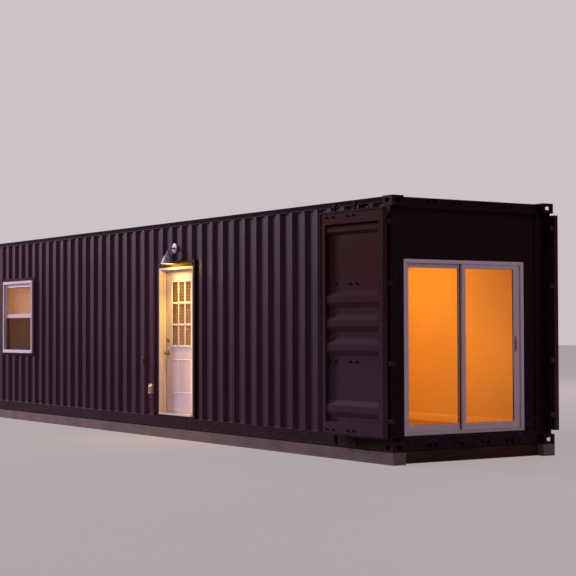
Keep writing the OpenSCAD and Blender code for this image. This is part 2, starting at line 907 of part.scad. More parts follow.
module entry_threshold() {
    front = -15;
    color(white)
        entry_side()
            along_x(entry_from_end + entry_jamb, entry_far - entry_jamb)
                polygon([[front, entry_foot], [lining_face, entry_foot], [lining_face, entry_foot + threshold],
                         [slab_outer - 20, entry_foot + threshold], [front, entry_foot + threshold - 14]]);
}

// A routed groove round a raised field, cut into a face of the slab
module raised_field(face, out, left, right, low, high) {
    groove = 24;
    depth = 6;
    ends = [face - over * out, face + depth * -out];
    difference() {
        block([left, min(ends), low], [right, max(ends), high]);
        block([left + groove, min(ends) - over, low + groove], [right - groove, max(ends) + over, high - groove]);
    }
}

// The door slab: a hole for the glazing, two raised fields on each face, and its hinge halves
module entry_door() {
    field_low = 494;
    field_high = 966;
    field_gap = 62;
    half = lite_width / 2 + lite_lap;
    color(white)
        entry_side()
            difference() {
                union() {
                    block([slab_near, slab_outer, slab_foot], [slab_far, lining_face, slab_head]);
                    for (z = entry_hinges) {
                        block([slab_near - plate, lining_face - plate_depth, z - third / 2],
                              [slab_near, entry_pin_b, z + third / 2]);
                        translate([entry_pin_a, entry_pin_b, z - third / 2])
                            cylinder(r = entry_knuckle, h = third);
                    }
                }
                block([slab_middle - half, slab_outer - over, lite_middle - lite_height / 2 - lite_lap],
                      [slab_middle + half, lining_face + over, lite_middle + lite_height / 2 + lite_lap]);
                for (side = [-1, 1], face = [[slab_outer, -1], [lining_face, 1]])
                    raised_field(face[0], face[1],
                                 side < 0 ? slab_middle - half : slab_middle + field_gap / 2,
                                 side < 0 ? slab_middle - field_gap / 2 : slab_middle + half,
                                 field_low, field_high);
                for (z = entry_hinges)
                    translate([entry_pin_a, entry_pin_b, z - third])
                        cylinder(r = entry_pin + running, h = 2 * third);
            }
}

// The two glazing frames with their bars, one on each face of the slab
module entry_lite_frames() {
    half = lite_width / 2 + lite_rim;
    tall = lite_height / 2 + lite_rim;
    pane_wide = (lite_width - 2 * muntin) / 3;
    pane_tall = (lite_height - 2 * muntin) / 3;
    color(white)
        entry_side()
            for (face = [slab_outer - lite_proud, lining_face])
                difference() {
                    block([slab_middle - half, face, lite_middle - tall],
                          [slab_middle + half, face + lite_proud, lite_middle + tall]);
                    for (column = [0 : 2], row = [0 : 2])
                        translate([slab_middle - lite_width / 2 + column * (pane_wide + muntin), face - over,
                                   lite_middle - lite_height / 2 + row * (pane_tall + muntin)])
                            cube([pane_wide, lite_proud + 2 * over, pane_tall]);
                }
}

module lite_sheet(from, to) {
    half = lite_width / 2 + lite_lap;
    tall = lite_height / 2 + lite_lap;
    block([slab_middle - half, from, lite_middle - tall], [slab_middle + half, to, lite_middle + tall]);
}

module entry_glass() {
    color(glass)
        entry_side() lite_sheet(slab_outer + 6, slab_outer + 24);
}

module entry_blind() {
    color(cream)
        entry_side() lite_sheet(slab_outer + 28, lining_face - 4);
}

// Knob and deadbolt, drawn by their outlines round the spindle, on both faces of the slab
module entry_handles() {
    color(brass)
        entry_side()
            for (face = [[slab_outer, 90], [lining_face, -90]])
                translate([handle_a, face[0], 0])
                    rotate([face[1], 0, 0]) {
                        side = face[1] > 0 ? 1 : -1;
                        translate([0, side * knob_height, 0])
                            rotate_extrude()
                                polygon([[0, 0], [33, 0], [33, 4], [27, 9], [12, 11], [11, 30], [20, 33],
                                         [27, 40], [28, 48], [25, 56], [17, 61], [0, 62]]);
                        translate([0, side * deadbolt_height, 0])
                            rotate_extrude()
                                polygon([[0, 0], [32, 0], [32, 5], [27, 14], [22, 20], [0, 20]]);
                    }
}

// The window: a frame, an upper sash on the outer line and a lower sash behind it
module window_frame() {
    reveal = 12;
    color(white)
        entry_side() {
            ring([window_from_end, window_front, window_foot], [window_far, window_back, window_top],
                 window_face, window_face, window_face);
            ring([window_from_end, window_back, window_foot], [window_far, lining_face, window_top],
                 reveal, reveal, reveal);
        }
}

upper_sash = [window_front + sash_set_back, window_front + sash_set_back + sash_depth];
lower_sash = [upper_sash[1] + sash_gap, upper_sash[1] + sash_gap + sash_depth];
window_side = window_face + sash_face;
module window_sashes() {
    low = window_foot + window_face;
    high = window_top - window_face;
    left = window_from_end + window_face;
    right = window_far - window_face;
    color(white)
        entry_side() {
            ring([left, upper_sash[0], meeting_height - meeting_rail / 2], [right, upper_sash[1], high],
                 sash_face, meeting_rail, sash_face);
            ring([left, lower_sash[0], low], [right, lower_sash[1], meeting_height + meeting_rail / 2],
                 sash_face, sash_face, meeting_rail);
        }
}

module window_glass() {
    glass_inset = 8;
    low = window_foot + window_side;
    high = window_top - window_side;
    left = window_from_end + window_side;
    right = window_far - window_side;
    color(glass)
        entry_side() {
            block([left, upper_sash[0] + glass_inset, meeting_height + meeting_rail / 2],
                  [right, upper_sash[1] - glass_inset, high]);
            block([left, lower_sash[0] + glass_inset, low],
                  [right, lower_sash[1] - glass_inset, meeting_height - meeting_rail / 2]);
        }
}

module window_screen() {
    back = lower_sash[0] - 8;
    color(rubber)
        entry_side()
            block([window_from_end + window_face, back - 4, window_foot + window_face],
                  [window_far - window_face, back, meeting_height - meeting_rail / 2]);
}

module window_blind() {
    reveal = 12;
    color(cream)
        entry_side()
            block([window_from_end + reveal, window_back + 14, window_foot + reveal + 20],
                  [window_far - reveal, window_back + 34, window_top - reveal]);
}

// The frame of a cargo door leaf, folded back along the side, in the frame of its corner
module at_hinge() {
    translate([hinge_a, hinge_b, 0]) rotate([0, 0, -leaf_stand_off]) children();
}

// The moving half of a hinge: a foot on the leaf's outer face, an arm and the knuckle
module hinge_strap(height) {
    arm = 14;
    foot = 8;
    foot_length = 110;
    low = height - leaf_hinge_height / 2;
    high = height + leaf_hinge_height / 2;
    block([0, leaf_outer, low], [arm, 0, high]);
    block([0, leaf_outer, low], [foot_length, leaf_outer + foot, high]);
    translate([0, 0, low]) cylinder(r = knuckle_radius, h = leaf_hinge_height);
}

// The leaf's pressed panel, drawn across its ribs: flush with the outer face, ribs towards the inner one
function leaf_line(shift) = let (base = leaf_outer - shift, top = leaf_outer - rib_depth - shift) concat(
    [[base, leaf_foot + leaf_rail]],
    [for (rib = leaf_ribs, p = [0 : 3])
        [p == 0 || p == 3 ? base : top,
         leaf_foot + rib[0] * leaf_height + rib[1] * [-leaf_rib, -rib_flat, rib_flat, leaf_rib][p] / 2]],
    [[base, leaf_head - leaf_rail]]);

module cargo_leaf() {
    start = leaf_edge;
    end = leaf_edge + leaf_width;
    difference() {
        union() {
            ring([start, leaf_inner, leaf_foot], [end, leaf_outer, leaf_head], leaf_stile, leaf_rail, leaf_rail);
            along_x(start + leaf_stile, end - leaf_stile)
                polygon(concat(leaf_line(0), reversed(leaf_line(sheet))));
            for (height = leaf_hinges) hinge_strap(height);
        }
        for (height = leaf_hinges)
            translate([0, 0, height - leaf_hinge_height])
                cylinder(r = pin_radius + running, h = 2 * leaf_hinge_height);
    }
}

module leaf_gasket() {
    ring([leaf_edge, leaf_inner - gasket, leaf_foot], [leaf_edge + leaf_width, leaf_inner, leaf_head],
         gasket_width, gasket_width, gasket_width);
}

// Lock rods with their cams, guides and handles, on the leaf's outer face
module lock_rods() {
    axis = leaf_outer + rod_stand_off;
    foot = 36;
    head = box_height - 32;
    guide = 40;
    guide_width = 70;
    cam = 50;
    cam_depth = 30;
    handle_height = leaf_foot + 0.43 * leaf_height;
    handle_length = 330;
    handle_bar = 40;
    for (place = rod_places) {
        translate([place, axis, foot]) cylinder(r = rod_radius, h = head - foot);
        for (z = [foot, head - handle_bar])
            block([place - cam / 2, axis - cam_depth / 2, z], [place + cam / 2, axis + cam_depth / 2, z + guide]);
        for (share = [0.015, 0.32, 0.667, 0.968]) {
            z = leaf_foot + share * leaf_height;
            block([place - guide_width / 2, leaf_outer, z], [place + guide_width / 2, axis, z + guide]);
        }
        block([place - handle_length, axis - rod_radius, handle_height],
              [place, axis - rod_radius + 10, handle_height + handle_bar]);
    }
}

module left_cargo_leaf() {
    color(paint) at_corner(1, -1) at_hinge() cargo_leaf();
}

module left_leaf_gasket() {
    color(rubber) at_corner(1, -1) at_hinge() leaf_gasket();
}

module left_lock_rods() {
    color(paint_dark) at_corner(1, -1) at_hinge() lock_rods();
}

module right_cargo_leaf() {
    color(paint) at_corner(1, 1) at_hinge() cargo_leaf();
}

module right_leaf_gasket() {
    color(rubber) at_corner(1, 1) at_hinge() leaf_gasket();
}

module right_lock_rods() {
    color(paint_dark) at_corner(1, 1) at_hinge() lock_rods();
}

// The wall lamp: a plate on a block in the wall's trough, a bent arm, a bell shade and a bulb
lamp_a = entry_from_end + entry_width / 2;
lamp_bend = 55;
lamp_tube = 9;
lamp_height = entry_top + lamp_over_door;
plate_thickness = 14;
shade_top = lamp_height - lamp_bend - 12;
module lamp_bracket() {
    block_side = 60;
    trough = skin_set_back + rib_depth;
    color(zinc)
        entry_side()
            translate([lamp_a, 0, lamp_height]) {
                block([-block_side / 2, 0, -block_side / 2], [block_side / 2, trough, block_side / 2]);
                rotate([90, 0, 0]) cylinder(r = lamp_plate, h = plate_thickness);
                rotate([90, 0, 0]) cylinder(r = lamp_tube, h = lamp_reach - lamp_bend);
                translate([0, lamp_bend - lamp_reach, -lamp_bend])
                    rotate([90, 0, -90])
                        rotate_extrude(angle = 90)
                            translate([lamp_bend, 0]) circle(lamp_tube);
                translate([0, -lamp_reach, shade_top - lamp_height])
                    cylinder(r = lamp_tube, h = lamp_height - lamp_bend - shade_top);
            }
}

// The bell's outline: a short neck that opens into a quarter ellipse and ends in an upright rim
shade_neck = 24;
shade_wall = 2;
shade_rim = 8;
function bell(shrink) = [for (t = [0 : 10 : 90])
    [shade_neck + (shade_radius - shade_neck) * (1 - cos(t)) - shrink,
     -22 - (shade_height - 22 - shade_rim) * sin(t)]];

module lamp_shade() {
    color(zinc)
        entry_side()
            translate([lamp_a, -lamp_reach, shade_top])
                rotate_extrude()
                    polygon(concat(
                        [[0, 0], [shade_neck - 4, 0], [shade_neck, -5]], bell(0),
                        [[shade_radius, -shade_height], [shade_radius - shade_wall, -shade_height]],
                        reversed(bell(shade_wall)),
                        [[shade_neck - shade_wall, -6 - shade_wall], [0, -6 - shade_wall]]));
}

module lamp_bulb() {
    bulb = 28;
    middle = -shade_height + 44;
    color([1, 0.8, 0.5])
        entry_side()
            translate([lamp_a, -lamp_reach, shade_top]) {
                translate([0, 0, middle]) sphere(bulb);
                translate([0, 0, middle]) cylinder(r = 14, h = -6 - shade_wall - middle);
            }
}

// Outlet box with a sloping lid, on a wall rib beside the door
module outlet_box() {
    width = 85;
    height = 136;
    depth = 44;
    lid = 100;
    color(white)
        entry_side()
            along_x(outlet_from_end - width / 2, outlet_from_end + width / 2)
                polygon([[skin_set_back, outlet_foot], [skin_set_back - depth, outlet_foot],
                         [skin_set_back - depth, outlet_foot + lid], [skin_set_back - depth / 2, outlet_foot + height],
                         [skin_set_back, outlet_foot + height]]);
}

module footings() {
    color(concrete)
        for (side = [-1, 1]) at_corner(1, side)
            block([0, 0, -footing_height], [box_length, footing_width, 0]);
}

// Boards that close the gap under the sill at each end
module end_skirts() {
    board = 20;
    set_back = 110;
    reach = box_width / 2 - footing_width;
    color(timber)
        for (end = [-1, 1]) at_end(end)
            block([set_back, -reach, -footing_height], [set_back + board, reach, 0]);
}

top_corner_castings();
bottom_corner_castings();
door_end_posts();
far_end_posts();
door_header();
door_sill();
far_end_rails();
top_side_rails();
bottom_side_rails();
floor_crossmembers();
floor_deck();
entry_wall_far();
entry_wall_over_door();
entry_wall_near();
plain_side_wall();
far_end_wall();
roof_sheet();
side_linings();
end_linings();
ceiling_lining();
infill_sides();
infill_over_door();
opening_surrounds();
patio_frame();
patio_fixed_panel();
patio_fixed_glass();
patio_sliding_panel();
patio_sliding_glass();
patio_handles();
entry_frame();
entry_threshold();
entry_door();
entry_lite_frames();
entry_glass();
entry_blind();
entry_handles();
window_frame();
window_sashes();
window_glass();
window_screen();
window_blind();
left_cargo_leaf();
left_leaf_gasket();
left_lock_rods();
right_cargo_leaf();
right_leaf_gasket();
right_lock_rods();
lamp_bracket();
lamp_shade();
lamp_bulb();
outlet_box();
footings();
end_skirts();
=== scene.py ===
import json
import logging
import math
from collections.abc import Iterable, Sequence
from dataclasses import dataclass, field
from enum import Enum

import bmesh
import bpy
from mathutils import Matrix, Vector


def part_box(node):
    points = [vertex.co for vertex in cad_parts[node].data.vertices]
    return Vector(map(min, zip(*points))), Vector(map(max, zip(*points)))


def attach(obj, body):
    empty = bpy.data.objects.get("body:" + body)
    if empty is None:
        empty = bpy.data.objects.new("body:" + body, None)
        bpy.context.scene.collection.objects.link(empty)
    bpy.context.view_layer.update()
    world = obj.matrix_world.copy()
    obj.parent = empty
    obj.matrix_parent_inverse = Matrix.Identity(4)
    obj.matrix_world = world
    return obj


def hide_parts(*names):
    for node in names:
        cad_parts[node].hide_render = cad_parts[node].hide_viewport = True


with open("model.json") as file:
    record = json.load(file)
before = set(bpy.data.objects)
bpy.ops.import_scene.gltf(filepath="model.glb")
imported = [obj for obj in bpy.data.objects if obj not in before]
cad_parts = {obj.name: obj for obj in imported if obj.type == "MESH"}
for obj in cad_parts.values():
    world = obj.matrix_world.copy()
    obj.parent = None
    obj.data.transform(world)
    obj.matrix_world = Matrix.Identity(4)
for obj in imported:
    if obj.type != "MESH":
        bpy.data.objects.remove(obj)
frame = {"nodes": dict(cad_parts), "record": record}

LOG = logging.getLogger("container_cabin")

Colour = tuple[float, float, float]
Pair = tuple[float, float]
Point = Sequence[float]
Socket = bpy.types.NodeSocket


class Side(Enum):
    """The two long sides of the box."""

    ENTRY = -1
    PLAIN = 1


class End(Enum):
    """The two ends of the box."""

    CARGO_DOORS = 1
    FAR = -1


class Axis(Enum):
    """The direction along which a lathed form or a prism is laid."""

    X = 0
    Y = 1
    Z = 2

    def point(self, along: float, across: float, up: float) -> list[float]:
        """Gives a point.

        Args:
            along: its place along this axis.
            across: its place along the next axis.
            up: its place along the one after that.

        Returns:
            The point's X, Y and Z.
        """
        place = [0.0, 0.0, 0.0]
        for step, part in enumerate((along, across, up)):
            place[(self.value + step) % 3] = part
        return place


@dataclass(frozen=True)
class Box:
    """The steel box's own frame: half its length and width, and the level of its castings' undersides."""

    half_length: float
    half_width: float
    base: float

    @classmethod
    def from_frame(cls) -> "Box":
        """Reads the box's size from its corner castings."""
        low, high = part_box("bottom_corner_castings")
        return cls(high.x, high.y, low.z)

    def corner(self, end: End, side: Side) -> Matrix:
        """Gives the frame of a corner, where X and Y are distances inwards from its end and its side."""
        move = Matrix.Translation((end.value * self.half_length, side.value * self.half_width, self.base))
        return move @ Matrix.Diagonal((-end.value, -side.value, 1.0, 1.0))

    def end(self, end: End) -> Matrix:
        """Gives the frame of an end, where X is the distance inwards from it."""
        move = Matrix.Translation((end.value * self.half_length, 0, self.base))
        return move @ Matrix.Diagonal((-end.value, 1.0, 1.0, 1.0))


class Graph:
    """A node tree that is wired up step by step."""

    def __init__(self, tree: bpy.types.NodeTree) -> None:
        """Starts with the tree emptied."""
        self.tree = tree
        tree.nodes.clear()

    def node(
        self, kind: str, inputs: dict[str | int, object] | None = None, **settings: str
    ) -> bpy.types.Node:
        """Adds a node.

        Args:
            kind: its type.
            inputs: what goes into each of its inputs: another node's output, or a constant.
            settings: its own settings.

        Returns:
            The node.
        """
        node = self.tree.nodes.new(kind)
        for name, value in settings.items():
            setattr(node, name, value)
        for name, value in (inputs or {}).items():
            socket = node.inputs[name]
            if isinstance(value, Socket):
                self.tree.links.new(value, socket)
            else:
                socket.default_value = (*value, 1.0) if socket.type == "RGBA" else value
        return node

    def most(self, first: Socket, second: Socket) -> Socket:
        """Gives the larger of two values."""
        return self.node("ShaderNodeMath", {0: first, 1: second}, operation="MAXIMUM").outputs["Value"]

    def product(self, first: Socket, second: Socket) -> Socket:
        """Multiplies two values."""
        return self.node("ShaderNodeMath", {0: first, 1: second}, operation="MULTIPLY").outputs["Value"]

    def mix(self, share: Socket, first: Socket, second: Socket) -> Socket:
        """Mixes two shaders, where a share of 1 shows the second alone."""
        return self.node("ShaderNodeMixShader", {0: share, 1: first, 2: second}).outputs[0]


class Recipe(Graph):
    """A material that is built up from a few kinds of step."""

    def __init__(self, name: str) -> None:
        """Starts a material that has only its output.

        Args:
            name: the material's name.
        """
        self.material = bpy.data.materials.new(name)
        self.material.use_nodes = True
        super().__init__(self.material.node_tree)
        self.output = self.node("ShaderNodeOutputMaterial")
        self.place = self.node("ShaderNodeTexCoord").outputs["Object"]

    def noise(self, scale: float, detail: float = 3.0, stretch: Point = (1, 1, 1)) -> Socket:
        """Adds a noise.

        Args:
            scale: how many features lie in a metre.
            detail: how many finer layers it has.
            stretch: the factor along each axis.

        Returns:
            The noise's height, from 0 to 1.
        """
        place = self.node("ShaderNodeMapping", {"Vector": self.place, "Scale": stretch}).outputs["Vector"]
        inputs = {"Vector": place, "Scale": scale, "Detail": detail}
        return self.node("ShaderNodeTexNoise", inputs).outputs["Fac"]

    def height(self) -> Socket:
        """Gives the height above the ground in metres."""
        return self.node("ShaderNodeSeparateXYZ", {0: self.place}).outputs["Z"]

    def span(self, value: Socket, low: float, high: float, to: Pair = (0.0, 1.0)) -> Socket:
        """Maps a value from the range between low and high to another range, and clamps it."""
        inputs = {"Value": value, "From Min": low, "From Max": high, "To Min": to[0], "To Max": to[1]}
        return self.node("ShaderNodeMapRange", inputs).outputs["Result"]

    def blend(self, share: Socket, first: Colour | Socket, second: Colour | Socket) -> Socket:
        """Mixes two colours, where a share of 1 shows the second alone."""
        return self.node("ShaderNodeMix", {0: share, 6: first, 7: second}, data_type="RGBA").outputs[2]

    def bumps(self, *layers: tuple[Socket, float, float]) -> Socket:
        """Stacks bumps.

        Args:
            layers: for each bump its height, its strength and its depth in metres.

        Returns:
            The bumped normal.
        """
        below: dict[str, Socket] = {}
        for relief, strength, depth in layers:
            inputs = {"Strength": strength, "Distance": depth, "Height": relief} | below
            below = {"Normal": self.node("ShaderNodeBump", inputs).outputs["Normal"]}
        return below["Normal"]

    def finish(
        self, colour: Colour | Socket, rough: float | Socket, normal: Socket | None = None,
        **constants: float | Colour,
    ) -> bpy.types.Material:
        """Closes the material with one shader.

        Args:
            colour: the surface's colour.
            rough: the surface's roughness.
            normal: the bumped normal, if any.
            constants: other values of the shader, with underscores for the spaces in their names.

        Returns:
            The material.
        """
        inputs = {"Base Color": colour, "Roughness": rough}
        inputs |= {name.replace("_", " "): value for name, value in constants.items()}
        if normal is not None:
            inputs["Normal"] = normal
        shader = self.node("ShaderNodeBsdfPrincipled", inputs)
        self.tree.links.new(shader.outputs[0], self.output.inputs["Surface"])
        return self.material


def scaled(colour: Colour, share: float) -> Colour:
    """Gives a darker or lighter colour."""
    return tuple(share * part for part in colour)


class Finish:
    """What the finishes share: each dresses a recipe with its own layers."""

    def make(self, name: str) -> bpy.types.Material:
        """Builds the material under its name."""
        return self.dress(Recipe(name))

    def dress(self, recipe: Recipe) -> bpy.types.Material:
        """Adds the finish's layers."""
        raise NotImplementedError


@dataclass(frozen=True)
class PaintedSteel(Finish):
    """Weathered satin paint on steel, with run marks and slightly dented sheets; towards the ground it takes
    dust in a tint that is partly painted reflection of the sky, it can carry a painted shade along the top
    rail, and on the cargo doors a painted sky reflection lightens and blues the lower part.
    """

    colour: Colour
    faded: Colour
    # colour near the ground: dust, whose purple tint is partly painted reflection of the sky
    dust: Colour = (0.074, 0.036, 0.066)
    low_sky_reflection: Colour | None = None
    top_shade: float = 0.0
    top_shade_span: Pair = (2.95, 2.98)
    rough: float = 0.42
    gloss: float = 0.07
    dents: float = 0.35

    def dress(self, recipe: Recipe) -> bpy.types.Material:
        """Adds the finish's layers.

        Args:
            recipe: the material as it starts.

        Returns:
            The finished material.
        """
        runs = recipe.noise(3.0, 4.0, (1.0, 1.0, 0.12))
        mottle = recipe.noise(14.0, 5.0)
        paint = recipe.blend(recipe.span(runs, 0.35, 0.75), self.colour, self.faded)
        rough = recipe.span(mottle, 0.3, 0.7, (self.rough - 0.07, self.rough + 0.1))
        # painted reflection: lighter and bluer towards the bottom and darker at the top, for the sky
        # mirrored in the lower part
        if self.low_sky_reflection is not None:
            paint = recipe.blend(recipe.span(recipe.height(), 0.5, 2.3, (0.9, 0.0)), paint, self.low_sky_reflection)
        # painted shade: the paint darkens to 0.4 of its colour along the top rail, and turns rough there as
        # well
        if self.top_shade > 0:
            top_shade_share = recipe.span(recipe.height(), *self.top_shade_span, (0.0, self.top_shade))
            paint = recipe.blend(top_shade_share, paint, scaled(self.colour, 0.4))
            rough = recipe.most(rough, top_shade_share)
        patches = recipe.blend(recipe.span(mottle, 0.45, 0.8, (0.0, 0.35)), paint, self.faded)
        # towards the ground: mottled dust in a tint that is partly painted reflection of the sky
        low = recipe.span(recipe.height(), 0.1, 0.75, (1.0, 0.0))
        low_dust_and_reflection_share = recipe.product(low, recipe.span(mottle, 0.35, 0.65, (0.1, 0.55)))
        colour = recipe.blend(low_dust_and_reflection_share, patches, self.dust)
        dents = (recipe.noise(1.4, 1.0), self.dents, 0.012)
        normal = recipe.bumps(dents, (recipe.noise(260.0, 2.0), 0.08, 0.0008))
        return recipe.finish(colour, rough, normal, Specular_IOR_Level=self.gloss)


@dataclass(frozen=True)
class MouldedPlastic(Finish):
    """White vinyl or plastic: nearly even, with a faint haze and dirt in its lower parts."""

    colour: Colour
    rough: float = 0.38
    soil: Colour = (0.45, 0.38, 0.34)

    def dress(self, recipe: Recipe) -> bpy.types.Material:
        """Adds the finish's layers.

        Args:
            recipe: the material as it starts.

        Returns:
            The finished material.
        """
        haze = recipe.noise(5.0, 4.0)
        low = recipe.span(recipe.height(), 0.28, 0.75, (0.35, 0.0))
        soiled = recipe.blend(recipe.product(low, haze), self.colour, self.soil)
        colour = recipe.blend(recipe.span(haze, 0.45, 0.8, (0.0, 0.5)), soiled, scaled(self.colour, 0.92))
        normal = recipe.bumps((recipe.noise(380.0, 2.0), 0.05, 0.0005))
        return recipe.finish(colour, self.rough, normal, Specular_IOR_Level=0.5)


@dataclass(frozen=True)
class WallBoard(Finish):
    """Rolled paint on lining boards, with the roller's stipple."""

    colour: Colour
    shade: Colour

    def dress(self, recipe: Recipe) -> bpy.types.Material:
        """Adds the paint's two shades and its stipple."""
        colour = recipe.blend(recipe.span(recipe.noise(1.2, 3.0), 0.35, 0.7), self.colour, self.shade)
        return recipe.finish(colour, 0.62, recipe.bumps((recipe.noise(220.0, 3.0), 0.15, 0.001)))


@dataclass(frozen=True)
class SawnTimber(Finish):
    """Timber with grain along X or Y and a darker late wood."""

    early: Colour
    late: Colour
    grain: Point
    rough: float = 0.6
    gloss: float = 0.5

    def dress(self, recipe: Recipe) -> bpy.types.Material:
        """Adds the finish's layers.

        Args:
            recipe: the material as it starts.

        Returns:
            The finished material.
        """
        rings = recipe.noise(9.0, 6.0, self.grain)
        fibre = recipe.noise(60.0, 3.0, self.grain)
        wood = recipe.blend(recipe.span(rings, 0.38, 0.62), self.early, self.late)
        colour = recipe.blend(recipe.span(fibre, 0.5, 0.8, (0.0, 0.5)), wood, self.late)
        normal = recipe.bumps((fibre, 0.25, 0.001))
        return recipe.finish(colour, self.rough, normal, Specular_IOR_Level=self.gloss)


@dataclass(frozen=True)
class CastConcrete(Finish):
    """Cast concrete with stains, fine aggregate and pinholes."""

    colour: Colour
    stain: Colour

    def dress(self, recipe: Recipe) -> bpy.types.Material:
        """Adds the finish's layers.

        Args:
            recipe: the material as it starts.

        Returns:
            The finished material.
        """
        stains = recipe.noise(2.5, 5.0)
        grit = recipe.noise(170.0, 3.0)
        base = recipe.blend(recipe.span(stains, 0.35, 0.7), self.colour, self.stain)
        colour = recipe.blend(recipe.span(grit, 0.55, 0.75, (0.0, 0.5)), base, self.stain)
        normal = recipe.bumps((stains, 0.3, 0.004), (grit, 0.35, 0.0015))
        return recipe.finish(colour, 0.86, normal)


@dataclass(frozen=True)
class ClearGlass(Finish):
    """Window glass with a faint tint."""

    tint: Colour
    haze: Pair = (0.0, 0.03)
    refraction: float = 1.14

    def dress(self, recipe: Recipe) -> bpy.types.Material:
        """Adds the tint and a haze of fine dust."""
        haze = recipe.span(recipe.noise(3.0, 4.0), 0.4, 0.8, self.haze)
        return recipe.finish(self.tint, haze, Transmission_Weight=1.0, IOR=self.refraction)


@dataclass(frozen=True)
class BareMetal(Finish):
    """Bare, galvanised or plated metal with fine scratches and dull patches."""

    colour: Colour
    dull: Colour
    rough: float
    metallic: float = 1.0

    def dress(self, recipe: Recipe) -> bpy.types.Material:
        """Adds the finish's layers.

        Args:
            recipe: the material as it starts.

        Returns:
            The finished material.
        """
        patches = recipe.noise(40.0, 4.0)
        colour = recipe.blend(recipe.span(patches, 0.35, 0.7), self.colour, self.dull)
        rough = recipe.span(patches, 0.3, 0.7, (self.rough, self.rough + 0.15))
        normal = recipe.bumps((recipe.noise(500.0, 2.0), 0.08, 0.0004))
        return recipe.finish(colour, rough, normal, Metallic=self.metallic)


@dataclass(frozen=True)
class LitFabric(Finish):
    """A blind's slats or a bulb's glass, with a glow: the bulb's own light, and on the slats painted light
    of the room behind them.
    """

    colour: Colour
    glow: Colour
    strength: float

    def dress(self, recipe: Recipe) -> bpy.types.Material:
        """Adds the finish's layers.

        Args:
            recipe: the material as it starts.

        Returns:
            The finished material.
        """
        weave = recipe.noise(90.0, 3.0, (0.3, 1.0, 1.0))
        colour = recipe.blend(recipe.span(weave, 0.4, 0.7), self.colour, scaled(self.colour, 0.8))
        normal = recipe.bumps((weave, 0.1, 0.0005))
        return recipe.finish(colour, 0.55, normal, Emission_Color=self.glow, Emission_Strength=self.strength)


@dataclass(frozen=True)
class WovenScreen(Finish):
    """Fine insect screen: a dark weave that the pane shows through."""

    colour: Colour
    cover: float

    def dress(self, recipe: Recipe) -> bpy.types.Material:
        """Adds the open weave."""
        normal = recipe.bumps((recipe.noise(600.0, 1.0), 0.2, 0.0005))
        return recipe.finish(self.colour, 0.7, normal, Alpha=self.cover, Specular_IOR_Level=0.05)


@dataclass(frozen=True)
class SoftRubber(Finish):
    """Black sealing rubber with a dusty bloom."""

    colour: Colour
    bloom: Colour

    def dress(self, recipe: Recipe) -> bpy.types.Material:
        """Adds the finish's layers.

        Args:
            recipe: the material as it starts.

        Returns:
            The finished material.
        """
        colour = recipe.blend(recipe.span(recipe.noise(25.0, 4.0), 0.45, 0.8), self.colour, self.bloom)
        grain = (recipe.noise(300.0, 2.0), 0.15, 0.0006)
        return recipe.finish(colour, 0.75, recipe.bumps(grain), Specular_IOR_Level=0.08)


# the wall paint carries a painted shade along its top rail
WALL_PAINT = PaintedSteel((0.0455, 0.0165, 0.0385), (0.056, 0.0225, 0.049), top_shade=0.95)
FRAME_PAINT = PaintedSteel((0.0175, 0.0055, 0.0085), (0.0225, 0.0078, 0.0118), gloss=0.03, dents=0.1)
# the cargo doors' paint carries a painted sky reflection on its lower part
LEAF_PAINT = PaintedSteel(
    (0.05, 0.0165, 0.016), (0.058, 0.02, 0.021), low_sky_reflection=(0.096, 0.056, 0.09), gloss=0.02, dents=0.25
)

FINISHES: dict[str, Finish] = {
    "wall_paint": WALL_PAINT,
    "frame_paint": FRAME_PAINT,
    "leaf_paint": LEAF_PAINT,
    "plywood": SawnTimber((0.36, 0.2, 0.09), (0.22, 0.11, 0.05), (0.25, 2.0, 2.0), 0.42),
    "lining_board": WallBoard((0.78, 0.53, 0.2), (0.7, 0.47, 0.17)),
    "white_vinyl": MouldedPlastic((0.76, 0.72, 0.77)),
    "white_paint": MouldedPlastic((0.73, 0.65, 0.73), rough=0.45),
    "pane": ClearGlass((0.98, 0.97, 0.94)),
    "mill_aluminium": BareMetal((0.6, 0.57, 0.54), (0.42, 0.39, 0.36), 0.4),
    "insect_screen": WovenScreen((0.05, 0.018, 0.008), 0.5),
    # painted light: the slats glow with the room's warm light, and their deep orange is partly that light
    # painted in
    "blind_fabric": LitFabric((0.38, 0.17, 0.004), (1.0, 0.4, 0.004), 0.075),
    "lamp_zinc": BareMetal((0.26, 0.25, 0.33), (0.19, 0.18, 0.25), 0.42, 0.6),
    "bulb": LitFabric((1.0, 0.8, 0.5), (1.0, 0.62, 0.24), 9.0),
    "white_plastic": MouldedPlastic((0.31, 0.22, 0.2), rough=0.45),
    "concrete": CastConcrete((0.19, 0.15, 0.14), (0.12, 0.095, 0.088)),
    "skirt_board": SawnTimber((0.07, 0.033, 0.021), (0.038, 0.018, 0.012), (2.0, 0.25, 2.0), gloss=0.06),
    "brass": BareMetal((0.36, 0.25, 0.17), (0.22, 0.15, 0.11), 0.3),
    "rubber": SoftRubber((0.014, 0.009, 0.007), (0.034, 0.022, 0.018)),
}


class Palette:
    """The materials of the record's slots, each made once."""

    def __init__(self) -> None:
        """Starts with no material made."""
        self.made: dict[str, bpy.types.Material] = {}

    def material(self, slot: str) -> bpy.types.Material:
        """Gives the material of a slot.

        Args:
            slot: the slot's name in the record.

        Returns:
            The material.
        """
        if slot not in self.made:
            self.made[slot] = FINISHES[slot].make(slot)
        return self.made[slot]

    def dress_frame(self) -> None:
        """Gives every CAD node the material of its slot."""
        slots = {part["node"]: part["material_slot"] for part in frame["record"]["subparts"]}
        for node, obj in frame["nodes"].items():
            material = self.material(slots[node])
            if not obj.material_slots:
                obj.data.materials.append(material)
            for holder in obj.material_slots:
                holder.link = "OBJECT"
                holder.material = material


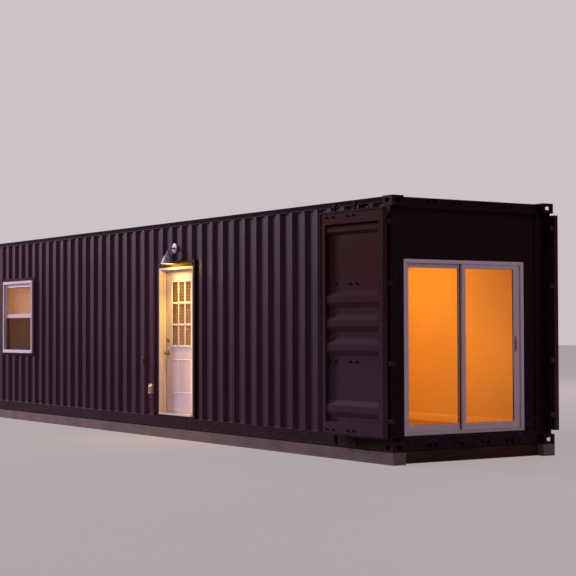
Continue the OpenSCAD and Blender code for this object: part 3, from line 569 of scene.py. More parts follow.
class Shape:
    """A mesh that grows form by form in a local frame and becomes one piece."""

    def __init__(self, palette: Palette, place: Matrix) -> None:
        """Starts an empty mesh.

        Args:
            palette: the materials.
            place: the matrix from the local frame to metres.
        """
        self.mesh = bmesh.new()
        self.palette = palette
        self.place = place

    def block(self, low: Point, high: Point, edge: float = 0.0) -> None:
        """Adds a block with rounded edges.

        Args:
            low: its lowest corner.
            high: its highest corner.
            edge: the radius of its edges.
        """
        size = [end - start for start, end in zip(low, high)]
        centre = [(start + end) / 2 for start, end in zip(low, high)]
        matrix = Matrix.Translation(centre) @ Matrix.Diagonal((*size, 1.0))
        made = bmesh.ops.create_cube(self.mesh, size=1.0, matrix=matrix)["verts"]
        if edge > 0:
            edges = list(dict.fromkeys(line for vert in made for line in vert.link_edges))
            options = {"segments": 2, "profile": 0.5, "affect": "EDGES", "clamp_overlap": True}
            bmesh.ops.bevel(self.mesh, geom=edges, offset=edge, **options)

    def loops(self, rings: Sequence[Sequence[Point]], closed: bool) -> None:
        """Skins a row of rings that have the same number of points.

        Args:
            rings: the rings' points.
            closed: whether the last ring joins the first. Otherwise both ends get a cap.
        """
        rows = [[self.mesh.verts.new(point) for point in ring] for ring in rings]
        for way in range(len(rows) if closed else len(rows) - 1):
            first, second = rows[way], rows[(way + 1) % len(rows)]
            for step in range(len(first)):
                after = (step + 1) % len(first)
                self.mesh.faces.new((first[step], first[after], second[after], second[step]))
        if not closed:
            self.mesh.faces.new(rows[0][::-1])
            self.mesh.faces.new(rows[-1])

    def tube(self, path: Sequence[Point], radius: float, sides: int = 6, closed: bool = False) -> None:
        """Adds a round bar along a path.

        Args:
            path: the points of its middle line.
            radius: its radius.
            sides: how many flats it has.
            closed: whether its ends join.
        """
        points = [Vector(point) for point in path]
        turns = [2 * math.pi * step / sides for step in range(sides)]
        circle = [(math.cos(turn), math.sin(turn)) for turn in turns]
        rings = []
        up = Vector((0, 0, 1))
        for index, point in enumerate(points):
            before = points[index - 1] if index or closed else point
            after = points[(index + 1) % len(points)] if index < len(points) - 1 or closed else point
            along = (after - before).normalized()
            if abs(along.dot(up)) > 0.95:
                up = Vector((1, 0, 0))
            across = along.cross(up).normalized()
            upward = across.cross(along)
            rings.append([point + radius * (cos * across + sin * upward) for cos, sin in circle])
        self.loops(rings, closed)

    def lathe(self, outline: Sequence[Pair], base: Point, axis: Axis, way: int = 1, sides: int = 24) -> None:
        """Adds a turned form.

        Args:
            outline: radius and height of each point, from the foot to the top.
            base: the middle of its foot.
            axis: the axis that it is turned round.
            way: 1 if it grows along the axis, -1 if it grows against it.
            sides: how many flats it has.
        """
        rings = []
        for radius, height in outline:
            reach = max(radius, 1e-5)
            ring = []
            for turn in (2 * math.pi * step / sides for step in range(sides)):
                offset = axis.point(way * height, reach * math.cos(turn), reach * math.sin(turn))
                ring.append([start + part for start, part in zip(base, offset)])
            rings.append(ring)
        self.loops(rings, False)

    def moulding(self, low: Pair, high: Pair, outline: Sequence[Pair], face: float, out: int) -> None:
        """Runs a profile round a rectangle that faces along the local Y, with mitred corners.

        Args:
            low: the rectangle's low corner across and up.
            high: the rectangle's high corner across and up.
            outline: the closed profile: distance inwards from the rectangle, and distance off the face.
            face: where the face is along the local Y.
            out: 1 if the profile stands off towards higher Y, -1 if towards lower Y.
        """
        rings = []
        for right, top in ((0, 0), (1, 0), (1, 1), (0, 1)):
            ring = []
            for inwards, off in outline:
                across = high[0] - inwards if right else low[0] + inwards
                up = high[1] - inwards if top else low[1] + inwards
                ring.append((across, face + out * off, up))
            rings.append(ring)
        self.loops(rings, True)

    def extrude(self, outline: Sequence[Pair], start: float, end: float, axis: Axis) -> None:
        """Adds a prism along an axis, with its profile in the two axes that follow it."""
        self.loops([[axis.point(place, *part) for part in outline] for place in (start, end)], False)

    def bolt_head(self, middle: Point, way: int, across: float) -> None:
        """Adds a washer and a six-sided bolt head along the local Y.

        Args:
            middle: the middle of the washer's foot.
            way: the direction in which the head stands off.
            across: the head's width across its flats.
        """
        thick = 0.12 * across
        washer = 0.68 * across
        self.lathe([(washer, 0), (washer, thick)], middle, Axis.Y, way, 20)
        seat = (middle[0], middle[1] + way * thick, middle[2])
        radius = across / math.sqrt(3)
        head = [(radius, 0), (radius, 0.5 * across), (0.85 * radius, 0.6 * across)]
        self.lathe(head, seat, Axis.Y, way, 6)

    def screw_head(self, middle: Point, way: int, radius: float) -> None:
        """Adds a domed screw head with a socket, which stands off one way along the local Y."""
        dome = [(1, 0), (0.95, 0.3), (0.6, 0.55), (0.35, 0.55), (0.3, 0.2)]
        self.lathe([(out * radius, up * radius) for out, up in dome], middle, Axis.Y, way, 14)

    def piece(self, name: str, slot: str, body: str = "root", angle: float = 30.0) -> bpy.types.Object:
        """Turns the mesh into a piece that rides on a body.

        Args:
            name: the piece's name.
            slot: the record's slot that it takes its finish from.
            body: the body that it rides on.
            angle: edges sharper than this many degrees stay sharp.

        Returns:
            The piece.
        """
        self.mesh.transform(self.place)
        bmesh.ops.recalc_face_normals(self.mesh, faces=self.mesh.faces)
        data = bpy.data.meshes.new(name)
        self.mesh.to_mesh(data)
        self.mesh.free()
        obj = bpy.data.objects.new(name, data)
        bpy.context.scene.collection.objects.link(obj)
        data.materials.append(self.palette.material(slot))
        data.shade_smooth()
        data.set_sharp_from_angle(angle=math.radians(angle))
        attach(obj, body)
        LOG.info("%s rides on %s with %d faces", name, body, len(data.polygons))
        return obj


@dataclass(frozen=True)
class Blind:
    """A slatted blind: where it hangs, its rails as (half depth, height), and its slightly crowned slats."""

    middle: float
    half: float
    depth: float
    low: float
    high: float
    head_rail: Pair
    foot_rail: Pair
    rail_edge: float
    margins: Pair
    pitch: float
    width: float
    tilt: float
    thick: float = 0.0009
    crown: float = 0.0012
    cord: float = 0.0008

    def hang(self, shape: Shape) -> None:
        """Adds the slats, their ladder cords and the two rails.

        Args:
            shape: the mesh that they are added to.
        """
        lowest, highest = self.low + self.margins[0], self.high - self.margins[1]
        front, back = self.depth - self.width / 2, self.depth + self.width / 2
        ridge = self.depth - self.crown
        count = int((highest - lowest) / self.pitch)
        for slat in range(count + 1):
            level = lowest + (highest - lowest) * slat / count
            under = [(front, level - self.tilt / 2), (ridge, level), (back, level + self.tilt / 2)]
            over = [(depth + self.thick, up) for depth, up in reversed(under)]
            shape.extrude(under + over, self.middle - self.half, self.middle + self.half, Axis.X)
        for share in (-0.75, 0, 0.75):
            for edge in (front, back):
                place = (self.middle + share * self.half, edge)
                shape.tube([(*place, lowest - 0.004), (*place, highest + 0.004)], self.cord, 5)
        rails = ((self.head_rail, self.high - self.head_rail[1]), (self.foot_rail, self.low))
        for (reach, tall), foot in rails:
            low = (self.middle - self.half, self.depth - reach, foot)
            shape.block(low, (self.middle + self.half, self.depth + reach, foot + tall), self.rail_edge)


@dataclass
class Assembly:
    """A sub-assembly that adds its pieces to the steel box."""

    box: Box
    palette: Palette

    def place(self) -> Matrix:
        """Gives the frame of its sizes: inwards from the cargo door end and from the entry side, and up."""
        return self.box.corner(End.CARGO_DOORS, Side.ENTRY)

    def start(self, place: Matrix | None = None) -> Shape:
        """Starts an empty mesh in the given frame, or in the sub-assembly's own."""
        return Shape(self.palette, self.place() if place is None else place)


@dataclass
class SteelBox(Assembly):
    """The box itself: softened edges on its sections, and the weld beads that join them."""

    rib_pitch: float = 0.278
    rib_flat: float = 0.072
    rib_slope: float = 0.068
    rib_depth: float = 0.036
    first_rib: float = 0.381
    rib_count: int = 42
    first_seam: int = 3
    ribs_a_sheet: int = 4
    skin: float = 0.0054
    rail_top: float = 0.162
    wall_top: float = 2.826
    top: float = 2.896
    casting: tuple[float, float, float] = (0.178, 0.162, 0.118)
    door_gap: Pair = (4.471, 5.534)
    window_gap: Pair = (9.82, 11.17)
    weld: float = 0.0035
    seam: float = 0.0022
    softened: dict[float, str] = field(
        default_factory=lambda: {
            0.008: "footings",
            0.006: "top_corner_castings bottom_corner_castings outlet_box",
            0.004: "top_side_rails far_end_rails far_end_posts",
            0.003: "door_header door_sill bottom_side_rails opening_surrounds left_cargo_leaf end_skirts "
            "right_cargo_leaf window_frame patio_frame patio_fixed_panel patio_sliding_panel",
            0.002: "window_sashes entry_frame",
        }
    )

    def soften(self) -> None:
        """Rounds the edges of the sections by a modifier, and leaves their meshes as they are."""
        for radius, nodes in self.softened.items():
            for node in nodes.split():
                bevel = frame["nodes"][node].modifiers.new("rounded_edges", "BEVEL")
                bevel.width = radius
                bevel.segments = 2
                bevel.limit_method = "ANGLE"
                bevel.angle_limit = math.radians(50)
                bevel.harden_normals = False

    def wall_line(self) -> list[Pair]:
        """Gives the outer line of a side wall.

        Returns:
            The line's points, as distances from the end and from the side.
        """
        out, inner = self.skin, self.skin + self.rib_depth
        ribs = []
        for rib in range(-1, self.rib_count):
            start = self.first_rib + rib * self.rib_pitch
            end = start + self.rib_flat
            ribs += [(start - self.rib_slope, inner), (start, out)]
            ribs += [(end, out), (end + self.rib_slope, inner)]
        near, far = self.casting[0], 2 * self.box.half_length - self.casting[0]
        return [(near, out), *ribs[3:-2], (far, out)]

    def seams(self, side: Side) -> list[float]:
        """Gives the places of the upright seams between a side wall's sheets.

        Args:
            side: the wall's side.

        Returns:
            The seams' distances from the end, without those that would cross the door or the window.
        """
        ribs = range(self.first_seam, self.rib_count - 1, self.ribs_a_sheet)
        places = [self.first_rib + rib * self.rib_pitch + self.rib_flat / 2 for rib in ribs]
        gaps = (self.door_gap, self.window_gap) if side is Side.ENTRY else ()
        return [place for place in places if not any(low < place < high for low, high in gaps)]

    def wall_welds(self) -> None:
        """Adds the beads along a side wall's head and foot, and the upright seams between its sheets."""
        line = self.wall_line()
        for side in Side:
            shape = self.start(self.box.corner(End.CARGO_DOORS, side))
            shape.tube([(a, b, self.wall_top) for a, b in line], self.weld)
            feet = [line]
            if side is Side.ENTRY:
                feet = [[part for part in line if part[0] < self.door_gap[0]]]
                feet.append([part for part in line if part[0] > self.door_gap[1]])
            for foot in feet:
                shape.tube([(a, b, self.rail_top) for a, b in foot], self.weld)
            for place in self.seams(side):
                face = self.skin + 0.0012
                shape.tube([(place, face, self.rail_top), (place, face, self.wall_top)], self.seam)
            shape.piece(f"{side.name.lower()}_wall_welds", "wall_paint")

    def casting_welds(self) -> None:
        """Adds the beads where the rails and the posts meet the castings."""
        length, width, height = self.casting
        for end in End:
            shape = self.start(self.box.end(end))
            start = 0.094 if end is End.CARGO_DOORS else 0.012
            for side in Side:
                inner = side.value * (self.box.half_width - width)
                outer = side.value * (self.box.half_width - self.skin - 0.004)
                for level in (height, self.top - height):
                    shape.tube([(0.058, outer, level), (length - 0.01, outer, level)], self.weld)
                for low, high in ((0.02, height - 0.01), (self.top - height + 0.01, self.top - 0.02)):
                    shape.tube([(start, inner, low), (start, inner, high)], self.weld)
            shape.piece(f"{end.name.lower()}_casting_welds", "frame_paint")

    def build(self) -> None:
        """Softens the sections and adds all of the weld beads."""
        self.soften()
        self.wall_welds()
        self.casting_welds()


@dataclass
class CargoLeaf(Assembly):
    """One folded-back cargo door: its bolts and rivets, its panel's weld beads and its rods' hubs."""

    side: Side
    body: str
    pin: Pair = (0.025, 0.02)
    stand_off: float = 3.0
    outer: float = -0.067
    thick: float = 0.05
    foot: float = 0.158
    height: float = 2.602
    edge: float = 0.015
    width: float = 1.174
    stile: float = 0.1
    rail: float = 0.15
    rods: Pair = (0.62, 1.0)
    rod_axis: float = -0.039
    handle: float = 0.43
    guides: tuple[float, ...] = (0.015, 0.32, 0.667, 0.968)
    hinges: tuple[float, ...] = (0.074, 0.324, 0.67, 0.938)

    def place(self) -> Matrix:
        """Gives the frame of the leaf's hinge pin."""
        pin = self.box.corner(End.CARGO_DOORS, self.side) @ Matrix.Translation((*self.pin, 0))
        return pin @ Matrix.Rotation(math.radians(-self.stand_off), 4, "Z")

    def bolts(self) -> None:
        """Adds the rod guides' bolts and the hinges' flat rivets."""
        shape = self.start()
        inner = self.outer - self.thick
        rivet = [(0.0085, 0), (0.0085, 0.0012), (0.006, 0.0028), (0.002, 0.003)]
        for share in self.guides:
            on_rail = share < 0.05 or share > 0.9
            face = inner if on_rail else self.outer - 0.002
            for place in (rod + across for rod in self.rods for across in (-0.058, 0.058)):
                shape.bolt_head((place, face, self.foot + share * self.height + 0.02), -1, 0.022)
        for share in self.hinges:
            level = self.foot + share * self.height
            for along, up in ((along, up) for along in (0.04, 0.085) for up in (-0.016, 0.016)):
                shape.lathe(rivet, (along, inner, level + up), Axis.Y, -1, 16)
        shape.piece(f"{self.body}_bolts", "frame_paint", self.body)

    def welds(self) -> None:
        """Adds the beads that join the pressed panel to its frame."""
        shape = self.start()
        face = self.outer - 0.003
        start, end = self.edge + self.stile, self.edge + self.width - self.stile
        low, high = self.foot + self.rail, self.foot + self.height - self.rail
        for level in (low, high):
            shape.tube([(start, face, level), (end, face, level)], 0.004)
        for place in (start, end):
            shape.tube([(place, face, low), (place, face, high)], 0.004)
        shape.piece(f"{self.body}_panel_welds", "leaf_paint", self.body)

    def hubs(self) -> None:
        """Adds the hubs that join the handles to the rods, and the handles' catches."""
        shape = self.start()
        level = self.foot + self.handle * self.height
        hub = [(0.0255, -0.03), (0.029, -0.026), (0.029, 0.066), (0.0255, 0.07)]
        for rod in self.rods:
            shape.lathe(hub, (rod, self.rod_axis, level), Axis.Z)
            low = (rod - 0.33, self.outer, level - 0.012)
            shape.block(low, (rod - 0.27, self.outer + 0.02, level + 0.052), 0.003)
        shape.piece(f"{self.body}_handle_hubs", "frame_paint", self.body)

    def build(self) -> None:
        """Adds all of the leaf's pieces."""
        self.bolts()
        self.welds()
        self.hubs()


@dataclass
class EntryDoor(Assembly):
    """The entry door: glazing frames with bars, mouldings, a slatted blind, locks and a weather strip."""

    opening: Pair = (4.521, 5.484)
    jamb: float = 0.02
    head: float = 2.228
    top: float = 2.295
    sill: float = 0.222
    slab: Pair = (4.546, 5.457)
    slab_outer: float = 0.104
    slab_inner: float = 0.148
    lite: Pair = (0.527, 0.889)
    lite_middle: float = 1.606
    bar: float = 0.028
    rim: float = 0.033
    proud: float = 0.012
    panel: Pair = (0.494, 0.966)
    panel_gap: float = 0.031
    groove: float = 0.024
    backset: float = 0.064
    locks: tuple[Pair, ...] = ((1.052, 0.062), (1.237, 0.02))

    @property
    def middle(self) -> float:
        """The distance of the slab's middle from the end."""
        return sum(self.slab) / 2

    def faces(self) -> tuple[tuple[float, int], tuple[float, int]]:
        """Gives the slab's two faces, each with the way that it faces."""
        return (self.slab_outer, -1), (self.slab_inner, 1)

    def glazing_frames(self) -> None:
        """Replaces the plain glazing frames by moulded ones with bevelled bars."""
        wide, tall = self.lite
        low = (self.middle - wide / 2 - self.rim, self.lite_middle - tall / 2 - self.rim)
        high = (self.middle + wide / 2 + self.rim, self.lite_middle + tall / 2 + self.rim)
        inner = [(start + self.rim, end - self.rim) for start, end in zip(low, high)]
        outline = [
            (0, 0), (0, 0.004), (0.004, 0.007), (0.01, 0.0075), (0.014, self.proud),
            (0.026, self.proud), (0.031, 0.008), (self.rim, 0.002), (self.rim, 0),
        ]
        half = self.bar / 2
        section = [(-half, 0), (-half, 0.003), (-half + 0.004, 0.007)]
        section += [(-across, off) for across, off in reversed(section)]
        pane = [(size - 2 * self.bar) / 3 for size in self.lite]
        shape = self.start()
        for face, out in self.faces():
            shape.moulding(low, high, outline, face, out)
            for step in (1, 2):
                across, up = (inner[way][0] + step * pane[way] + (step - 0.5) * self.bar for way in (0, 1))
                upright = [(across + part, face + out * off) for part, off in section]
                level = [(face + out * off, up + part) for part, off in section]
                shape.extrude(upright, *inner[1], Axis.Z)
                shape.extrude(level, *inner[0], Axis.X)
        frames = shape.piece("entry_glazing_frames", "white_vinyl", "entry_door", 24)
        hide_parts("entry_lite_frames")

    def panel_mouldings(self) -> None:
        """Adds the sloping mouldings in the grooves round the raised fields."""
        half, gap = self.lite[0] / 2 + 0.009, self.panel_gap
        depth = 0.006
        outline = [
            (0, -depth), (0, 0), (0.002, 0.0045), (0.006, 0.0068), (0.0105, 0.0045), (0.015, -0.003),
            (0.017, -0.005), (self.groove - 0.001, -0.0052), (self.groove - 0.001, -depth),
        ]
        fields = ((self.middle - half, self.middle - gap), (self.middle + gap, self.middle + half))
        shape = self.start()
        for face, out in self.faces():
            for left, right in fields:
                shape.moulding((left, self.panel[0]), (right, self.panel[1]), outline, face, out)
        shape.piece("entry_panel_mouldings", "white_paint", "entry_door", 24)

    def blind(self) -> None:
        """Replaces the plain blind by slats on their ladder cords, between a head rail and a bottom rail."""
        half, reach = self.lite[0] / 2 + 0.004, self.lite[1] / 2 + 0.006
        blind = Blind(
            self.middle, half, self.slab_outer + 0.034, self.lite_middle - reach, self.lite_middle + reach,
            head_rail=(0.0055, 0.018), foot_rail=(0.0055, 0.009), rail_edge=0.001,
            margins=(0.034, 0.04), pitch=0.0435, width=0.0095, tilt=0.0385,
        )
        shape = self.start()
        blind.hang(shape)
        slats = shape.piece("entry_blind_slats", "blind_fabric", "entry_door")
        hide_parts("entry_blind")

    def key_faces(self) -> None:
        """Adds the key faces of the knob and the deadbolt, each with its slot."""
        shape = self.start()
        lock = self.slab[1] - self.backset
        dial = [(0.0075, 0), (0.0075, 0.0012), (0.0062, 0.0018), (0.002, 0.0018), (0.0018, 0.0006)]
        for level, reach in self.locks:
            face = self.slab_outer - reach
            shape.lathe(dial, (lock, face, level), Axis.Y, -1, 20)
            low = (lock - 0.0009, face - 0.0024, level - 0.0045)
            shape.block(low, (lock + 0.0009, face - 0.0016, level + 0.0045))
        shape.piece("entry_key_faces", "brass", "entry_door")

    def head_board(self) -> None:
        """Adds the rounded board over the door's frame."""
        back = [(-0.0003, -0.036), (-0.0003, 0.016)]
        front = [(-0.004, 0.016), (-0.009, 0.012), (-0.011, -0.03), (-0.009, -0.036)]
        shape = self.start()
        section = [(off, self.top + up) for off, up in back + front]
        shape.extrude(section, self.opening[0] + 0.002, self.opening[1] - 0.002, Axis.X)
        shape.piece("entry_head_board", "skirt_board")

    def weather_strip(self) -> None:
        """Adds the soft strip on the frame's stop, up both sides and along the head."""
        shape = self.start()
        inset = self.jamb + 0.012
        left, right = self.opening[0] + inset, self.opening[1] - inset
        stop = self.slab_outer - 0.004
        for place in (left - 0.004, right + 0.004):
            shape.tube([(place, stop, self.sill), (place, stop, self.head - 0.012)], 0.003, 8)
        shape.tube([(left, stop, self.head - 0.008), (right, stop, self.head - 0.008)], 0.003, 8)
        shape.piece("entry_weather_strip", "rubber")

    def build(self) -> None:
        """Adds all of the door's pieces."""
        self.glazing_frames()
        self.panel_mouldings()
        self.blind()
        self.key_faces()
        self.head_board()
        self.weather_strip()


@dataclass
class SideWindow(Assembly):
    """The window: glazing beads, a slatted blind, a sash lock and the sill's drip edge."""

    near: float = 9.877
    far: float = 11.111
    foot: float = 0.998
    top: float = 2.208
    face: float = 0.045
    sash: float = 0.04
    meeting: float = 1.615
    meeting_rail: float = 0.059
    front: float = -0.028
    depth: float = 0.1
    pane_depths: Pair = (0.0465, 0.0765)

    @property
    def middle(self) -> float:
        """The distance of the window's middle from the end."""
        return (self.near + self.far) / 2

    def beads(self) -> None:
        """Adds the sloping glazing beads on the outside of both panes."""
        outline = [(0, 0.0005), (0.0, 0.002), (0.011, 0.0078), (0.0112, 0.0005)]
        edge = self.face + self.sash
        half = self.meeting_rail / 2
        levels = ((self.meeting + half, self.top - edge), (self.foot + edge, self.meeting - half))
        shape = self.start()
        for (low, high), depth in zip(levels, self.pane_depths):
            shape.moulding((self.near + edge, low), (self.far - edge, high), outline, self.front + depth, -1)
        shape.piece("window_glazing_beads", "white_vinyl", angle=24)

    def blind(self) -> None:
        """Replaces the plain blind by slats, a head rail and a bottom rail."""
        half, depth = (self.far - self.near) / 2 - 0.014, self.front + self.depth + 0.024
        blind = Blind(
            self.middle, half, depth, self.foot + 0.034, self.top - 0.014,
            head_rail=(0.01, 0.04), foot_rail=(0.009, 0.016), rail_edge=0.002,
            margins=(0.032, 0.056), pitch=0.031, width=0.015, tilt=0.0265,
        )
        shape = self.start()
        blind.hang(shape)
        slats = shape.piece("window_blind_slats", "blind_fabric")
        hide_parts("window_blind")

    def flange_and_lock(self) -> None:
        """Adds the flange round the frame, the sill's drip edge and the sash lock."""
        shape = self.start()
        outline = [(0, 0), (0, 0.002), (0.003, 0.004), (0.038, 0.004), (0.041, 0.002), (0.041, 0)]
        low, high = (self.near + 0.003, self.foot + 0.003), (self.far - 0.003, self.top - 0.003)
        shape.moulding(low, high, outline, self.front, -1)
        drip = (self.near + 0.01, self.front - 0.012, self.foot - 0.006)
        shape.block(drip, (self.far - 0.01, self.front + 0.004, self.foot + 0.01), 0.003)
        inner, level = self.front + 0.096, self.meeting + 0.012
        plate = (self.middle - 0.028, inner, level - 0.008)
        shape.block(plate, (self.middle + 0.028, inner + 0.004, level + 0.008), 0.0015)
        cam = [(0.009, 0), (0.009, 0.007), (0.007, 0.009)]
        shape.lathe(cam, (self.middle, inner + 0.004, level), Axis.Y, 1, 20)
        shape.piece("window_flange_and_lock", "white_vinyl", angle=24)

    def build(self) -> None:
        """Adds all of the window's pieces."""
        self.beads()
        self.blind()
        self.flange_and_lock()


@dataclass
class PatioDoor(Assembly):
    """The sliding patio door: glazing beads, curved pulls, brush strips and the dark meeting strip, partly a
    sealing strip and partly painted shade.
    """

    sliding_depth: float = 0.188
    fixed_depth: float = 0.236
    thick: float = 0.036
    pane: float = 0.018
    slide_edges: Pair = (-0.0515, 0.848)
    fixed_edges: Pair = (-0.898, -0.0145)
    lock_stile: float = 0.096
    meeting_stile: float = 0.046
    fixed_stile: float = 0.082
    bottom_rail: float = 0.068
    top_rail: float = 0.056
    slide_foot: float = 0.203
    fixed_foot: float = 0.2027
    panel_head: float = 2.159
    pull: tuple[float, float, float] = (1.113, 0.18, 0.028)
    pull_steps: int = 20

    def place(self) -> Matrix:
        """Gives a frame with the width across, the depth from the end along Y and the height."""
        swap = Matrix(((0, 1, 0, 0), (1, 0, 0, 0), (0, 0, 1, 0), (0, 0, 0, 1)))
        return self.box.end(End.CARGO_DOORS) @ swap

    def beads(self) -> None:
        """Adds the glazing beads on both faces of both panels."""
        outline = [(0, 0.0), (0, 0.0085), (0.002, 0.0088), (0.0075, 0.004), (0.009, 0.0005), (0.009, 0.0)]
        sliding = (self.slide_edges, self.meeting_stile, self.lock_stile, self.slide_foot)
        fixed = (self.fixed_edges, self.fixed_stile, self.meeting_stile, self.fixed_foot)
        for name, (edges, left, right, foot), depth, body in (
            ("sliding", sliding, self.sliding_depth, "patio_panel"),
            ("fixed", fixed, self.fixed_depth, "root"),
        ):
            shape = self.start()
            low = (edges[0] + left, foot + self.bottom_rail)
            high = (edges[1] - right, self.panel_head - self.top_rail)
            glass = depth + (self.thick - self.pane) / 2
            shape.moulding(low, high, outline, glass, -1)
            shape.moulding(low, high, outline, glass + self.pane, 1)
            shape.piece(f"patio_{name}_beads", "white_vinyl", body, 24)

    def pulls(self) -> None:
        """Replaces the plain pulls by curved ones, each on a bevelled plate with two screws."""
        shape = self.start()
        middle = self.slide_edges[1] - self.lock_stile + 0.02
        foot, length, width = self.pull
        for face, out in ((self.sliding_depth, -1), (self.sliding_depth + self.thick, 1)):
            near, far = sorted((face, face + out * 0.004))
            shape.block((middle - width / 2, near, foot), (middle + width / 2, far, foot + length), 0.0015)
            path = []
            for step in range(self.pull_steps + 1):
                bow = math.sin(math.pi * step / self.pull_steps) ** 0.45
                up = foot + 0.016 + (length - 0.032) * step / self.pull_steps
                path.append((middle, face + out * (0.002 + 0.0155 * bow), up))
            shape.tube(path, 0.0045, 10)
            for up in (0.006, length - 0.006):
                shape.screw_head((middle, face + out * 0.004, foot + up), out, 0.003)
        pulls = shape.piece("patio_curved_pulls", "white_plastic", "patio_panel")
        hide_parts("patio_handles")

    def strips(self) -> None:
        """Adds the dark brush strips on the sliding panel and, where the two panels meet, a dark rubber
        strip over the fixed panel's meeting stile: partly a sealing strip, partly painted shade on that
        stile.
        """
        left, right = self.slide_edges
        back, depth = self.sliding_depth + self.thick, self.sliding_depth + self.thick / 2
        shape = self.start()
        low = (left + 0.02, back, self.slide_foot + 0.02)
        shape.block(low, (left + 0.026, back + 0.005, self.panel_head - 0.02), 0.001)
        low = (left + 0.03, depth - 0.003, self.panel_head)
        shape.block(low, (right - 0.03, depth + 0.003, self.panel_head + 0.004), 0.001)
        shape.piece("patio_brush_strips", "rubber", "patio_panel")
        edge = self.fixed_edges[1]
        # painted shade: this strip is wider than a sealing strip and darkens the fixed panel's meeting stile
        seal_and_shade = self.start()
        low = (edge - self.meeting_stile + 0.001, self.fixed_depth - 0.004, self.fixed_foot + 0.02)
        seal_and_shade.block(low, (edge - 0.004, self.fixed_depth + 0.001, self.panel_head - 0.02), 0.001)
        seal_and_shade.piece("patio_meeting_seal_and_shade", "rubber")

    def build(self) -> None:
        """Adds all of the door's pieces."""
        self.beads()
        self.pulls()
        self.strips()


@dataclass
class SideFittings(Assembly):
    """Small fittings of the entry side: the lamp's trim and shade, the outlet's lid and a blank plate."""

    lamp: float = 5.0025
    lamp_height: float = 2.518
    reach: float = 0.118
    plate: float = 0.072
    shade_top: float = 2.451
    shade_height: float = 0.15
    shade_radius: float = 0.104
    rim_steps: int = 48
    outlet: float = 5.699
    outlet_foot: float = 0.469
    cover: float = 5.977
    cover_foot: float = 0.879
    wall_face: float = 0.0054

    def lamp_trim(self) -> None:
        """Adds the plate's dished rim, its screws, the arm's collars and the shade's rolled rim."""
        plate, level = self.plate, self.lamp_height
        rim = [(plate - 0.002, 0.0), (plate + 0.001, 0.004), (plate - 0.002, 0.009), (plate - 0.012, 0.012)]
        collar = [(0.022, 0), (0.02, 0.006), (0.013, 0.012), (0.0125, 0.02)]
        neck = [(0.0135, -0.002), (0.0215, 0.002), (0.0215, 0.012)]
        neck += [(0.0185, 0.014), (0.0185, 0.03), (0.0135, 0.036)]
        shape = self.start()
        shape.lathe(rim, (self.lamp, -0.008, level), Axis.Y, -1, 40)
        shape.lathe(collar, (self.lamp, -0.014, level), Axis.Y, -1, 28)
        shape.lathe(neck, (self.lamp, -self.reach, self.shade_top - 0.004), Axis.Z, 1, 28)
        foot = self.shade_top - self.shade_height + 0.002
        ring = []
        for turn in (2 * math.pi * step / self.rim_steps for step in range(self.rim_steps)):
            across, out = self.shade_radius * math.cos(turn), self.shade_radius * math.sin(turn)
            ring.append((self.lamp + across, -self.reach + out, foot))
        shape.tube(ring, 0.003, 8, closed=True)
        for across in (-0.045, 0.045):
            shape.screw_head((self.lamp + across, -0.0145, level), -1, 0.0045)
        shape.piece("lamp_trim", "lamp_zinc")

    def shade(self) -> None:
        """Replaces the plain shade by a wide spun dome that flares to its rim."""
        inner = [
            (0.0, 0.139), (0.018, 0.139), (0.035, 0.129), (0.0515, 0.106),
            (0.0675, 0.076), (0.082, 0.041), (0.093, 0.014), (0.1005, 0.0),
        ]
        outer = [
            (0.1035, 0.0), (0.104, 0.004), (0.096, 0.015), (0.085, 0.043), (0.0705, 0.079), (0.0545, 0.109),
            (0.038, 0.132), (0.025, 0.1425), (0.0215, self.shade_height), (0.0, self.shade_height),
        ]
        shape = self.start()
        foot = (self.lamp, -self.reach, self.shade_top - self.shade_height)
        shape.lathe(inner + outer, foot, Axis.Z, 1, 56)
        dome = shape.piece("lamp_domed_shade", "lamp_zinc", "root", 40)
        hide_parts("lamp_shade")

    def outlet_trim(self) -> None:
        """Adds the lid's lip, its hinge barrel and its screws."""
        half = 0.0425
        front, barrel = self.wall_face - 0.044, self.wall_face - 0.02
        left, right, foot = self.outlet - half, self.outlet + half, self.outlet_foot
        shape = self.start()
        lip = (left - 0.002, front - 0.003, foot - 0.004)
        shape.block(lip, (right + 0.002, front + 0.006, foot + 0.012), 0.002)
        shape.tube([(left + 0.004, barrel, foot + 0.137), (right - 0.004, barrel, foot + 0.137)], 0.0045, 12)
        for across in (-0.03, 0.03):
            shape.screw_head((self.outlet + across, front, foot + 0.088), -1, 0.0035)
        shape.piece("outlet_lid_trim", "white_plastic")

    def cover_plate(self) -> None:
        """Adds the painted blank plate on the rib beside the outlet, with its two screws."""
        half, tall, thick = 0.034, 0.114, 0.009
        face, foot = self.wall_face - thick, self.cover_foot
        shape = self.start()
        top = (self.cover + half, self.wall_face + 0.001, foot + tall)
        shape.block((self.cover - half, face, foot), top, 0.004)
        for up in (0.022, tall - 0.022):
            shape.screw_head((self.cover, face, foot + up), -1, 0.0035)
        shape.piece("blank_cover_plate", "wall_paint")

    def build(self) -> None:
        """Adds all of the fittings."""
        self.lamp_trim()
        self.shade()
        self.outlet_trim()
        self.cover_plate()


@dataclass
class PackingAndShadeStrips(Assembly):
    """The strips of packing that close the slits between the end boards and the box; their dark rubber also
    stands as painted shade inside the slits, where the pale floor would show through.
    """

    inset: float = 0.006
    thick: float = 0.02
    gap: float = 0.0005
    edge: float = 0.002

    def build(self) -> None:
        """Adds the strips at both ends."""
        low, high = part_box("end_skirts")
        start = self.box.half_length - high.x + self.inset
        for end, node in ((End.CARGO_DOORS, "door_sill"), (End.FAR, "far_end_rails")):
            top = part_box(node)[0].z - self.box.base - self.gap
            shape = self.start(self.box.end(end))
            # painted shade: the dark strip fills the slit where shade would lie
            shape.block((start, low.y, self.gap), (start + self.thick, high.y, top), self.edge)
            shape.piece(f"{end.name.lower()}_packing_and_shade_strip", "rubber")


